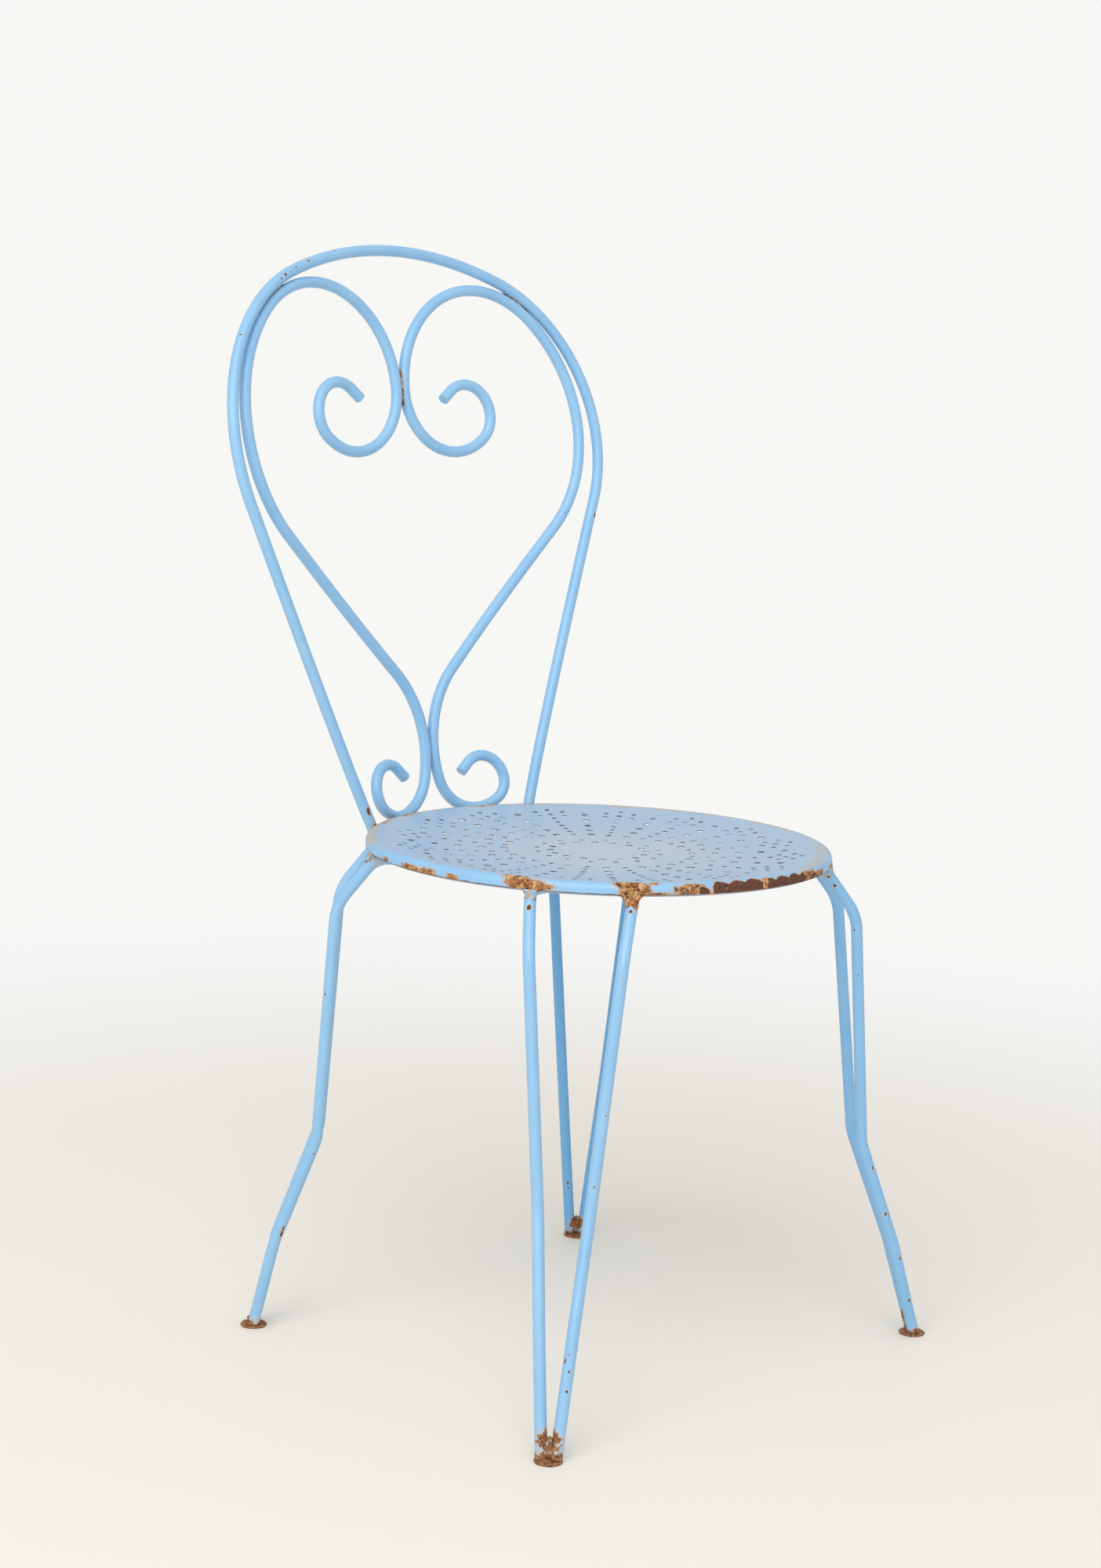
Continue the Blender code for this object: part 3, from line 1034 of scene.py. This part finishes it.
def rust_colour(finish):
    """Crust from nearly black pits to brown, orange and tan, darker near the floor."""
    blotch = finish.noise(0.0050, 6.0, roughness=0.70, shift=0.53)
    colour = finish.blend(blotch.step(0.38, 0.51), RUST_BROWN, RUST_ORANGE)
    colour = finish.blend(blotch.step(0.49, 0.62), colour, RUST_TAN)
    damp = finish.parts(finish.place)[2].step(0.040, 0.018)
    colour = finish.blend(damp * 0.62, colour, RUST_BROWN)
    pits = finish.noise(0.0034, 6.0, roughness=0.72, shift=0.87)
    return finish.blend(pits.step(0.53, 0.60), colour, RUST_DARK)


print("colours mixed, from", SKY[:3], "to", RUST_DARK[:3])

# %% [markdown]
# A chip is small, dark in the middle, and ringed by an orange halo where rust
# has crept under the paint. The larger chips have their own places. Each one is
# the distance from a point, stretched along its rod and bent by noise. The
# small ones are scattered wherever two noises are high together.

# %% Chips
def chip_distance(finish, chips):
    """Distance to the nearest listed chip, in chip radii, with a ragged edge."""
    ragged = finish.add("TexNoise", "Color", {
        "Vector": finish.place, "Scale": 480.0, "Detail": 4.0,
    })
    offset = finish.vector("SUBTRACT", ragged, (0.5, 0.5, 0.5))
    offset = finish.vector("MULTIPLY", offset, (0.003, 0.003, 0.003))
    place = finish.vector("ADD", finish.place, offset)
    nearest = None
    for centre, radius, stretch in chips:
        apart = finish.vector("SUBTRACT", place, centre)
        squeezed = finish.vector("DIVIDE", apart, (radius, radius, radius * stretch))
        distance = finish.vector("LENGTH", squeezed)
        nearest = distance if nearest is None else finish.least(nearest, distance)
    return nearest


def scattered_specks(finish):
    """Specks of rust, only in the places where a slow noise is high."""
    fine = finish.noise(0.0021, 2.0, shift=0.77)
    where = finish.noise(0.055, 2.0, shift=0.19)
    return fine.step(0.735, 0.775) * where.step(0.50, 0.58)


# %% [markdown]
# The larger chips were read off the photograph. Each has a place in metres, a
# radius in millimetres, and how many times longer it is than wide.

# %% Places of the larger chips
CHIP_TABLE = (
    # the nearest leg
    ((-0.1822, -0.1410, 0.4199), 3.0, 1.2), ((-0.1304, -0.2031, 0.4205), 2.2, 1.0),
    ((-0.1648, -0.2175, 0.2629), 1.1, 1.0), ((-0.1736, -0.2163, 0.2063), 1.1, 1.3),
    ((-0.1854, -0.2220, 0.1535), 0.9, 1.8), ((-0.2117, -0.2327, 0.0815), 0.9, 1.8),
    ((-0.2139, -0.2306, 0.0766), 1.2, 3.6), ((-0.2143, -0.2352, 0.0689), 1.1, 1.8),
    ((-0.2179, -0.2373, 0.0543), 1.2, 1.5),
    # the rear legs
    ((-0.1892, 0.0896, 0.3070), 1.4, 1.2), ((-0.2001, 0.1255, 0.0895), 1.7, 4.0),
    ((-0.1994, 0.1240, 0.0945), 1.5, 3.0), ((-0.1860, 0.1026, 0.1631), 1.1, 1.0),
    ((0.1856, 0.1493, 0.0575), 1.3, 2.0), ((0.1873, 0.1495, 0.0517), 1.2, 1.5),
    # the front right leg
    ((0.1203, -0.2017, 0.4217), 1.8, 1.0), ((0.1256, -0.2053, 0.4145), 2.2, 1.0),
    ((0.1428, -0.2155, 0.3930), 1.0, 1.0), ((0.1435, -0.2145, 0.3753), 1.4, 1.2),
    ((0.1500, -0.2167, 0.3350), 1.0, 1.0), ((0.1798, -0.2214, 0.1590), 1.2, 2.0),
    ((0.1931, -0.2283, 0.1164), 1.8, 1.2), ((0.1990, -0.2310, 0.1050), 1.0, 1.0),
    ((0.2085, -0.2356, 0.0746), 1.6, 1.5), ((0.2191, -0.2403, 0.0350), 1.8, 1.0),
    # the hoop and a scroll
    ((-0.1382, 0.2239, 0.9121), 1.8, 1.0), ((-0.1442, 0.2222, 0.9082), 1.4, 1.0),
    ((-0.1317, 0.2251, 0.9149), 1.2, 1.0), ((-0.1235, 0.2268, 0.9188), 1.2, 1.0),
    ((-0.1074, 0.2299, 0.9250), 1.5, 1.4), ((-0.0724, 0.2363, 0.9355), 1.1, 1.0),
    ((-0.2010, 0.2068, 0.8595), 1.5, 1.0), ((-0.2173, 0.1993, 0.8269), 1.1, 1.0),
    ((0.2070, 0.1696, 0.7022), 2.6, 1.6), ((-0.1044, 0.1346, 0.4517), 2.2, 2.4),
    ((-0.1032, 0.1341, 0.4490), 1.6, 1.5), ((0.1749, 0.1775, 0.7052), 1.0, 1.0),
)
ROD_CHIPS = [(place, size / 1000, stretch) for place, size, stretch in CHIP_TABLE]
print("chips placed:", len(ROD_CHIPS))

# %% [markdown]
# On a rod the layers are paint, brush lines, rust near the welds, and chips.
# The stored rust level fades out smoothly, and noise breaks its edge up into
# flakes with a tan halo round them.

# %% Paint on the rods
def rod_finish():
    finish = Finish("brushed_sky_blue_on_rod")
    paint = paint_colour(finish)
    brush = finish.add("TexNoise", "Fac", {
        "Vector": finish.attribute("across", "Vector"),
        "W": finish.attribute("along") * 26.0,
        "Scale": 3.2,
        "Detail": 3.0,
    }, noise_dimensions="4D")
    paint = finish.blend(brush.step(0.40, 0.66) * 0.10, paint, SKY_DEEP)
    # painted shade: the right-hand rods below the seat turn deeper blue
    paint = painted_shade_under_seat(finish, paint)

    level = finish.attribute("crust")
    breakup = finish.noise(0.0038, 5.0, roughness=0.66, shift=0.41)
    edge = level + breakup.swing(1.1)
    near = level.step(*NEAR)
    specks = scattered_specks(finish)
    distance = chip_distance(finish, ROD_CHIPS)
    chips = distance.step(0.66, 0.52)
    crust = finish.most(edge.step(0.46, 0.54) * near, specks)
    halo = finish.most(edge.step(0.20, 0.56) * near, distance.step(1.15, 0.60))
    colour = finish.blend(halo * 0.72, paint, RUST_TAN)
    colour = finish.blend(crust, colour, rust_colour(finish))
    colour = finish.blend(distance.step(0.80, 0.62), colour, RUST_ORANGE)
    colour = finish.blend(chips * 0.85, colour, RUST_DARK)
    crust = finish.most(crust, chips)

    sheen = finish.noise(0.012, 3.0, shift=0.61) * 0.22 + 0.17
    rough = (sheen + finish.most(halo, crust) * 0.5).clamped()
    peel = finish.noise(0.0035, 2.0, shift=0.23) * 0.10
    pits = finish.noise(0.0013, 4.0, roughness=0.7) * 0.9
    height = peel + brush * 0.16 + crust * pits - specks * 0.5
    return finish.paint_on(colour, rough, height, 0.00045)


rod_paint = rod_finish()

# %% [markdown]
# ## Paint and rust on the seat
#
# The seat's top lies open to sun and rain, so its paint has gone chalky and
# pale, while the rim kept its colour. Rust sits in three places: as a crust
# along the rim, as dark bare patches where the crust fell off, and as a brown
# edge round the holes. The rim's rust is a map by angle round the seat, in
# degrees anticlockwise from the right side, and by how many millimetres it
# climbs from the skirt's lower edge. Tan stains lie on the plate just inside
# the rim, so their map goes by angle and by radius in metres.

# %% Rust maps of the seat
CRUST_MAP = (
    # from angle, to angle, from height, to height, strength
    (159.5, 162.5, 0.0, 3.5, 0.80), (170.0, 176.0, 0.0, 4.5, 0.90),
    (177.0, 181.5, 0.0, 5.0, 0.90), (185.5, 188.5, 0.0, 4.0, 0.80),
    (200.8, 206.2, 2.5, 17.0, 0.95), (202.5, 210.5, 0.0, 8.0, 1.00),
    (208.0, 213.0, 1.0, 5.5, 0.80), (226.8, 232.6, 6.0, 17.5, 0.90),
    (228.0, 234.6, 0.0, 10.0, 1.05), (234.0, 240.0, 0.0, 2.2, 0.85),
    (235.2, 237.0, 8.5, 12.0, 0.90), (240.6, 244.0, 0.0, 7.0, 0.80),
    (243.0, 248.0, 0.0, 8.5, 0.90),
    (264.6, 267.4, 0.0, 9.5, 0.85), (280.6, 287.0, 0.0, 8.0, 0.85),
    (286.0, 293.0, 0.0, 5.5, 0.80), (300.0, 312.0, 0.0, 3.5, 0.70),
    (312.0, 320.0, 0.0, 3.5, 0.80), (331.0, 340.0, 0.0, 6.5, 0.90),
    (352.0, 357.0, 0.0, 3.0, 0.80), (8.0, 14.0, 0.0, 6.0, 0.90),
    (24.0, 33.0, 0.0, 9.5, 0.95), (44.0, 47.0, 0.0, 3.5, 0.80),
    (57.0, 66.0, 0.0, 12.0, 0.95), (72.0, 79.0, 0.0, 13.0, 0.90),
    (86.0, 92.0, 0.0, 3.5, 0.85), (101.0, 108.0, 0.0, 13.0, 0.90),
    (114.0, 123.0, 0.0, 12.0, 0.95), (132.0, 137.0, 0.0, 4.5, 0.85),
)
BARE_MAP = (
    (246.8, 249.6, 0.0, 3.8, 1.05), (250.8, 265.0, 0.0, 7.8, 1.15),
    (266.8, 281.2, 0.0, 6.6, 1.15), (280.8, 290.0, 0.0, 2.4, 0.95),
    (14.0, 22.0, 1.0, 9.5, 1.00), (108.5, 113.5, 1.0, 8.0, 1.00),
)
STAIN_MAP = (
    # from angle, to angle, inner radius, outer radius, strength
    (56.0, 152.0, 0.1930, 0.2000, 0.95), (108.0, 150.0, 0.1880, 0.1960, 0.65),
    (128.0, 148.0, 0.1905, 0.1945, 1.00), (149.0, 162.0, 0.1950, 0.2000, 0.60),
    (196.0, 214.0, 0.1880, 0.1990, 0.60), (224.0, 238.0, 0.1880, 0.1990, 0.60),
    (238.0, 250.0, 0.1900, 0.1990, 0.55), (279.0, 300.0, 0.1860, 0.1990, 0.75),
    (298.0, 322.0, 0.1850, 0.1990, 0.70), (320.0, 340.0, 0.1880, 0.1990, 0.65),
    (338.0, 362.0, 0.1890, 0.2000, 0.85), (0.0, 60.0, 0.1910, 0.2000, 0.85),
    (34.0, 39.0, 0.1850, 0.1980, 0.90),
)
CRUST_EDGE, BARE_EDGE, STAIN_EDGE = 2.6, 1.8, 6.0   # soft edges in degrees
SCALLOP_ANGLE = 4.9     # degrees from one scallop of a bare patch to the next
SCALLOP_HEIGHT = 3.6    # millimetres


def soft_window(value, low, high, edge):
    """1 between low and high, falling to 0 across the width of the edge."""
    return max(0.0, min(1.0, (value - low) / edge + 0.5, (high - value) / edge + 0.5))


def climb(radius, height):
    """Millimetres from the skirt's lower edge up and over the rolled rim."""
    down = height - SEAT_TOP
    straight = SKIRT_DEPTH - ROLL_RADIUS
    if radius < plate_radius():
        return (straight + ROLL_RADIUS * ROLL_START + plate_radius() - radius) * 1000
    if down < -ROLL_RADIUS:
        return (SKIRT_DEPTH + down) * 1000
    angle = math.atan2(down + ROLL_RADIUS, radius - (SEAT_RADIUS - ROLL_RADIUS))
    return (straight + ROLL_RADIUS * max(0.0, angle)) * 1000


def rim_window(up, low, high):
    """Soft in height. Rust that starts at the edge is whole down to the edge."""
    return soft_window(up, low, high, 2.0) if low > 0.0 else soft_window(up, -6.0, high, high / 2)


def stain_window(radius, inner, outer):
    return soft_window(radius, inner, outer, 0.004)


def map_level(rust_map, degrees, edge, place, window):
    """The strongest level that any row of a map has at one point of the seat."""
    return max(
        soft_window(degrees, start, end, edge) * window(place, low, high) * strength
        for start, end, low, high, strength in rust_map
    )


def map_rust(piece):
    layers = {"crust": [], "bare": [], "stain": [], "climb": []}
    for vertex in piece.data.vertices:
        flat = vertex.co - SEAT_AXIS
        radius = flat.xy.length
        degrees = math.degrees(math.atan2(flat.y, flat.x)) % 360.0
        up = climb(radius, vertex.co.z)
        scallop = SCALLOP_HEIGHT * abs(math.sin(math.pi * degrees / SCALLOP_ANGLE))
        scalloped = up - scallop + SCALLOP_HEIGHT / 3
        layers["crust"].append(map_level(CRUST_MAP, degrees, CRUST_EDGE, up, rim_window))
        layers["bare"].append(map_level(BARE_MAP, degrees, BARE_EDGE, scalloped, rim_window))
        layers["stain"].append(map_level(STAIN_MAP, degrees, STAIN_EDGE, radius, stain_window))
        layers["climb"].append(up)
    for name, values in layers.items():
        keep_values(piece, name, values)
        print(name, "from", round(min(values), 2), "to", round(max(values), 2))


map_rust(pan)

# %% [markdown]
# Rust also starts at the punched edges, where the paint is thin. The holes
# follow a rule, so their distance can be worked out in the shader itself: fold
# the angle back to one spoke, find the nearest hole on it, and measure. That
# stays sharp however coarse the mesh is.

# %% Distance to the nearest hole
def spoke_place(finish, radius, angle, phase):
    """How far a place lies along the nearest spoke, and how far beside it."""
    part = math.tau / SPOKES
    turned = angle - phase
    folded = turned - finish.math("ROUND", turned / part) * part
    along = radius * finish.math("COSINE", folded)
    across = radius * finish.math("SINE", folded)
    return along, finish.math("ABSOLUTE", across)


def point_distance(finish, along, across, along_at, across_at=0.0):
    first, second = along - along_at, across - across_at
    return finish.math("SQRT", first * first + second * second)


def row_distance(finish, along, across, start, pitch, count):
    place = finish.math("ROUND", (along - start) / pitch)
    place = finish.least(finish.most(place, 0.0), count - 1.0)
    return point_distance(finish, along, across, place * pitch + start)


def hole_distance(finish):
    """Metres from the nearest hole's edge."""
    x, y, _ = finish.parts(finish.vector("SUBTRACT", finish.place, tuple(SEAT_AXIS)))
    radius = finish.math("SQRT", x * x + y * y)
    angle = finish.math("ARCTAN2", y, x)
    along, across = spoke_place(finish, radius, angle, SPOKE_PHASE)
    large = finish.least(
        row_distance(finish, along, across, *HOLE_ROWS["large"]),
        point_distance(finish, along, across, INNER_HOLES["large"]),
    )
    along, across = spoke_place(finish, radius, angle, SPOKE_PHASE + math.pi / SPOKES)
    small = finish.least(
        row_distance(finish, along, across, *HOLE_ROWS["small"]),
        point_distance(finish, along, across, INNER_HOLES["small"]),
    )
    for ring_radius in CLUSTER_RINGS:
        beside = ring_radius * math.cos(CLUSTER_TURN), ring_radius * math.sin(CLUSTER_TURN)
        small = finish.least(small, point_distance(finish, along, across, *beside))
    return finish.least(large - HOLE_SIZES["large"] / 2, small - HOLE_SIZES["small"] / 2)


# %% [markdown]
# The seat's finish stacks these layers in the order in which they happened:
# paint, chalking and dust, tan stains, a few scratches, rust at the holes,
# crust, and bare metal last. The bump follows the same order, so crust stands
# proud and a bare patch lies a coat of paint deeper.

# %% Paint on the seat
def seat_paint_layers(finish, plate):
    """Paint, chalking, dust, stains and scratches, before any rust."""
    chalk = (finish.noise(0.060, 3.0, shift=0.37) * 0.5 + 0.62).clamped()
    colour = finish.blend(plate * chalk, paint_colour(finish), SKY_CHALK)
    cloud = finish.noise(0.070, 4.0, shift=0.47)
    middle = (cloud * 60.0 + finish.attribute("climb")).step(90.0, 200.0)
    colour = finish.blend(middle * 0.75, colour, SKY_DUSTY)

    level = finish.attribute("stain")
    cloud = finish.noise(0.008, 8.0, roughness=0.78, shift=0.29)
    stain = (level + cloud.swing(1.5)).step(0.36, 0.95) * level.step(*NEAR)
    colour = finish.blend(stain * 0.80, colour, STAIN_TAN)

    slanted = finish.add("Mapping", 0, {
        "Vector": finish.place,
        "Rotation": (0.0, 0.0, math.radians(-34)),
        "Scale": (9.0, 520.0, 1.0),
    })
    lines = finish.add("TexNoise", "Fac", {"Vector": slanted, "Scale": 1.0, "Detail": 2.0})
    where = finish.noise(0.05, 1.0, shift=0.9).step(0.54, 0.60)
    scratch = lines.step(0.70, 0.74) * where * plate
    return finish.blend(scratch * 0.7, colour, RUST_TAN), stain, scratch


def rust_at_holes(finish, colour):
    """Punched walls in blue darkened as painted shade, some dark with rust, and a brown ring on
    top where the local noise is high.
    """
    distance = hole_distance(finish)
    patchy = finish.noise(0.016, 3.0, shift=0.67)
    local = finish.noise(0.0022, 4.0, roughness=0.65, shift=0.13)
    edge = patchy * 0.0074 - 0.0041 + local.swing(0.0020) - distance
    ring = edge.step(-0.00005, 0.00030)
    halo = edge.step(-0.0014, 0.0004)
    colour = finish.blend(halo * 0.16, colour, STAIN_TAN)
    colour = finish.blend(ring, colour, finish.blend(local, RUST_DARK, RUST_BROWN))
    bare_wall = finish.noise(0.013, 2.0, shift=0.97).step(0.40, 0.52)
    wall = distance.step(0.00012, 0.00004)
    # walls: blue darkened as painted shade, dark rust where bare
    wall_shade_and_rust = finish.blend(bare_wall, HOLE_WALL_PAINTED_SHADE, RUST_DARK)
    return finish.blend(wall, colour, wall_shade_and_rust), ring, wall


def bare_patches(finish):
    """Masks of the bare patches and of the broken lip of paint round them."""
    level = finish.attribute("bare")
    cells = finish.add("TexVoronoi", "Distance", {
        "Vector": finish.place, "Scale": 1.0 / 0.0090,
    }, feature="F1")
    edge = level - cells * 0.35 + finish.noise(0.0030, 4.0, shift=0.71) * 0.60
    bare = edge.step(0.62, 0.66)
    lip = (edge.step(0.02, 0.50) - bare).clamped()
    return bare, lip * level.step(*NEAR)


def bare_steel(finish):
    """Brown metal with dark grain and a few painted glints of pale grey."""
    grain = finish.noise(0.0022, 5.0, roughness=0.7, shift=0.5).step(0.36, 0.56)
    steel = finish.blend(grain, RUST_DARK, RUST_BARE)
    # painted glints: specks of pale grey stand in for light caught by the bare steel
    painted_glint = finish.noise(0.0016, 2.0, shift=0.05).step(0.69, 0.73)
    return finish.blend(painted_glint * 0.8, steel, PAINTED_GLINT_GREY)


def seat_finish():
    finish = Finish("chalky_sky_blue_on_seat")
    climbed = finish.attribute("climb")
    plate = climbed.step(10.0, 15.0)
    colour, stain, scratch = seat_paint_layers(finish, plate)
    colour, hole_ring, wall = rust_at_holes(finish, colour)

    level = finish.attribute("crust")
    near = level.step(*NEAR)
    breakup = finish.noise(0.0075, 6.0, roughness=0.68, shift=0.41)
    fine = finish.noise(0.0018, 4.0, roughness=0.70, shift=0.59)
    edge = level + breakup.swing(2.2)
    halo = (edge + fine.swing(0.9)).step(-0.16, 0.50) * near
    sheet_edge = (climbed - breakup * 1.6).step(-0.10, -0.45)
    crust = finish.most(edge.step(0.34, 0.62) * near, scattered_specks(finish))
    creep = finish.blend(fine.step(0.42, 0.60), RUST_TAN, RUST_ORANGE)
    colour = finish.blend(halo * 0.75, colour, creep)
    colour = finish.blend(crust, colour, rust_colour(finish))
    colour = finish.blend(sheet_edge, colour, RUST_DARK)

    bare, lip = bare_patches(finish)
    colour = finish.blend(lip * 0.85, colour, creep)
    colour = finish.blend(bare, colour, bare_steel(finish))

    worn = finish.most(crust, bare, stain * 0.4, wall, hole_ring)
    gloss = finish.noise(0.020, 4.0, shift=0.83) * 0.20 + 0.26
    rough = (worn * 0.5 + gloss).clamped()
    pits = finish.noise(0.0014, 4.0, roughness=0.7) + 0.25
    raised = finish.most(edge.step(0.40, 0.62) * near, hole_ring * 0.3)
    ripple = finish.noise(0.0040, 2.0, shift=0.23) * 0.02
    sunk = bare * (pits * -0.35 + 1.0)
    height = raised * pits + ripple - sunk - scratch * 0.10
    return finish.paint_on(colour, rough, height, 0.00045)


seat_paint = seat_finish()

# %% [markdown]
# The ring under the seat was never cleaned or repainted properly. What shows
# of it below the skirt is old paint under grey dust, with a little rust.

# %% Dusty ring
def ring_finish():
    finish = Finish("dusty_paint_on_ring")
    dust = finish.noise(0.014, 4.0, shift=0.3).step(0.30, 0.60)
    colour = finish.blend(dust, rgb(0.300, 0.420, 0.560), rgb(0.440, 0.420, 0.450))
    edge = finish.noise(0.008, 5.0, roughness=0.66, shift=0.7) * 1.6 - 0.55
    colour = finish.blend(edge.step(0.38, 0.55), colour, RUST_TAN)
    rust = edge.step(0.50, 0.58)
    colour = finish.blend(rust, colour, rust_colour(finish))
    grit = finish.noise(0.0016, 4.0, roughness=0.7)
    return finish.paint_on(colour, rust * 0.30 + 0.55, grit, 0.00025)


ring_dust = ring_finish()

# %% [markdown]
# The welds and feet share one finish. How much paint is left on each is a
# value stored on the piece, from 0 for fully painted to 1 for bare rust.

# %% Rusty welds and feet
def weld_finish():
    finish = Finish("rusty_weld_with_paint_left")
    paint = finish.blend(finish.noise(0.005, 3.0).step(0.4, 0.7), SKY, SKY_DEEP)
    breakup = finish.noise(0.0048, 5.0, roughness=0.62, shift=0.41)
    edge = finish.attribute("crust") + breakup.swing(1.6)
    crust = edge.step(0.46, 0.54)
    colour = finish.blend(edge.step(0.24, 0.56) * 0.7, paint, RUST_TAN)
    colour = finish.blend(crust, colour, rust_colour(finish))
    pits = finish.noise(0.0013, 5.0, roughness=0.7) * (crust * 0.9 + 0.1)
    height = pits + finish.noise(0.0045, 3.0) * 0.8
    return finish.paint_on(colour, crust * 0.52 + 0.30, height, 0.0005)


weld_rust = weld_finish()

# %% [markdown]
# The rods rust next to their welds and down at the feet. Each such place is a
# point with a reach in metres and a strength, and every vertex of a rod keeps
# how near it is.

# %% Rust near the welds
AT_COLLAR, AT_FOOT, IN_WEB = 0.4245, 0.0040, 0.0160     # heights on a leg


def rust_places():
    places = []
    for corner in LEG_TURNS:
        route = leg_route(corner)
        for side in (0, 1):
            level = COLLARS[corner][side][3]
            places.append((leg_point(route, AT_COLLAR, side), 0.0110, level))
            places.append((leg_point(route, AT_FOOT, side), 0.0110, 0.70))
        gap = (leg_point(route, IN_WEB, 0) + leg_point(route, IN_WEB, 1)) / 2
        places.append((gap, 0.0160 if corner == "front_left" else 0.0125, 0.82))
    for side in (-1, 1):
        places.append((Vector((0.0948 * side, 0.1325, 0.4340)), 0.0110, 0.60 - 0.15 * side))
        places.append((Vector((0.0501 * side, 0.1493, 0.4370)), 0.0080, 0.40))
    return places


def keep_rust(rod, places):
    levels = []
    for vertex in rod.data.vertices:
        level = 0.0
        for place, reach, strength in places:
            near = 1.0 - (vertex.co - place).length / reach
            level = max(level, min(1.0, near * 1.6) * strength)
        levels.append(level)
    keep_values(rod, "crust", levels)


rust_spots = rust_places()
rods = [hoop, *scrolls.values(), *legs.values()]
for rod in rods:
    keep_rust(rod, rust_spots)
for foot in feet.values():
    keep_values(foot, "crust", [0.80] * len(foot.data.vertices))
print("rust starts at", len(rust_spots), "places on", len(rods), "rods")

# %% [markdown]
# Now each piece gets its one material: the seat, the ring and the rods have
# their own, and everything welded on or standing on the floor is rusty.

# %% Put the finishes on
def dress(material, *pieces):
    for piece in pieces:
        piece.data.materials.clear()
        piece.data.materials.append(material)
    print(material.name, "on", len(pieces), "pieces")


dress(seat_paint, pan)
dress(ring_dust, ring)
dress(rod_paint, *rods)
dress(weld_rust, *welds.values(), *feet.values(), scabs)

# %% [markdown]
# ## Everything rides on the one body
#
# Nothing on this chair moves, so each piece rides on the root. A fine piece
# that stands for a solid says which one, and the solid is then hidden.

# %% Ride and replace
def settle(piece, slot_name, *solids):
    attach(piece, "root")
    if solids:
        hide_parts(*solids)


settle(pan, "seat_paint", "seat_pan")
settle(ring, "rod_paint", "seat_ring")
settle(hoop, "rod_paint", "back_hoop")
for side_name, rod in scrolls.items():
    settle(rod, "rod_paint", "back_scroll_" + side_name)
for corner, rod in legs.items():
    settle(rod, "rod_paint", "leg_" + corner)
for corner, foot in feet.items():
    settle(foot, "foot_rust", "foot_" + corner)
for piece in [*welds.values(), scabs]:
    settle(piece, "foot_rust")
settled = [pan, ring, *rods, *feet.values(), *welds.values(), scabs]
print("pieces on the root:", len(settled))

# %% [markdown]
# ## Floor and light
#
# The chair stands on a plain pale floor. Away from the chair the floor fades
# into an even pale colour for the camera, so no horizon shows.

# %% Floor
FLOOR_RADIUS = 14.0
FLOOR_FADE = (0.6, 1.9)     # metres from the chair between which the floor fades
FLOOR_NEAR = rgb(0.915, 0.852, 0.750)
BACKDROP = rgb(0.930, 0.930, 0.910)


def floor_finish():
    finish = Finish("pale_floor")
    far = finish.vector("LENGTH", finish.place).step(*FLOOR_FADE)
    finish.feed(finish.shader.inputs["Base Color"], finish.blend(far, FLOOR_NEAR, BACKDROP))
    finish.shader.inputs["Roughness"].default_value = 0.55
    lit = Value(finish, finish.shader.outputs[0])
    glow = finish.add("Emission", 0, {"Color": BACKDROP, "Strength": 1.0})
    seen = finish.add("LightPath", "Is Camera Ray")
    mix = finish.add("MixShader", 0, {0: far * seen, 1: lit, 2: glow})
    finish.feed(finish.tree.nodes["Material Output"].inputs["Surface"], mix)
    return finish.material


clear_selection()
bpy.ops.mesh.primitive_circle_add(vertices=96, radius=FLOOR_RADIUS, fill_type="NGON")
floor = bpy.context.object
floor.name = "pale_floor"
dress(floor_finish(), floor)

# %% [markdown]
# The world gives most of the light, evenly and a little blue, and only the
# camera sees the pale backdrop in its place. One large soft lamp high on the
# left gives the rods their shape.

# %% World and lamp
LAMP_PLACE = Vector((-3.6, -2.0, 4.2))
LAMP_TARGET = Vector((0.0, 0.0, 0.45))
LAMP_SIZE, LAMP_POWER = 6.0, 205.0
WORLD_COLOUR, WORLD_STRENGTH = rgb(0.93, 0.95, 0.99), 0.72


def light_world():
    world = bpy.data.worlds.new("soft_room_light")
    bpy.context.scene.world = world
    world.use_nodes = True
    tree = world.node_tree
    even = tree.nodes["Background"]
    even.inputs["Color"].default_value = WORLD_COLOUR
    even.inputs["Strength"].default_value = WORLD_STRENGTH
    seen = tree.nodes.new("ShaderNodeBackground")
    seen.inputs["Color"].default_value = BACKDROP
    path = tree.nodes.new("ShaderNodeLightPath")
    mix = tree.nodes.new("ShaderNodeMixShader")
    tree.links.new(path.outputs["Is Camera Ray"], mix.inputs[0])
    tree.links.new(even.outputs[0], mix.inputs[1])
    tree.links.new(seen.outputs[0], mix.inputs[2])
    tree.links.new(mix.outputs[0], tree.nodes["World Output"].inputs["Surface"])


light_world()
clear_selection()
bpy.ops.object.light_add(type="AREA", location=LAMP_PLACE)
lamp = bpy.context.object
lamp.data.shape = "DISK"
lamp.data.size = LAMP_SIZE
lamp.data.energy = LAMP_POWER
lamp.rotation_euler = (LAMP_TARGET - LAMP_PLACE).to_track_quat("-Z", "Y").to_euler()
bpy.context.scene.view_settings.view_transform = "Standard"
print("lamp", round((LAMP_TARGET - LAMP_PLACE).length, 2), "m from the chair")
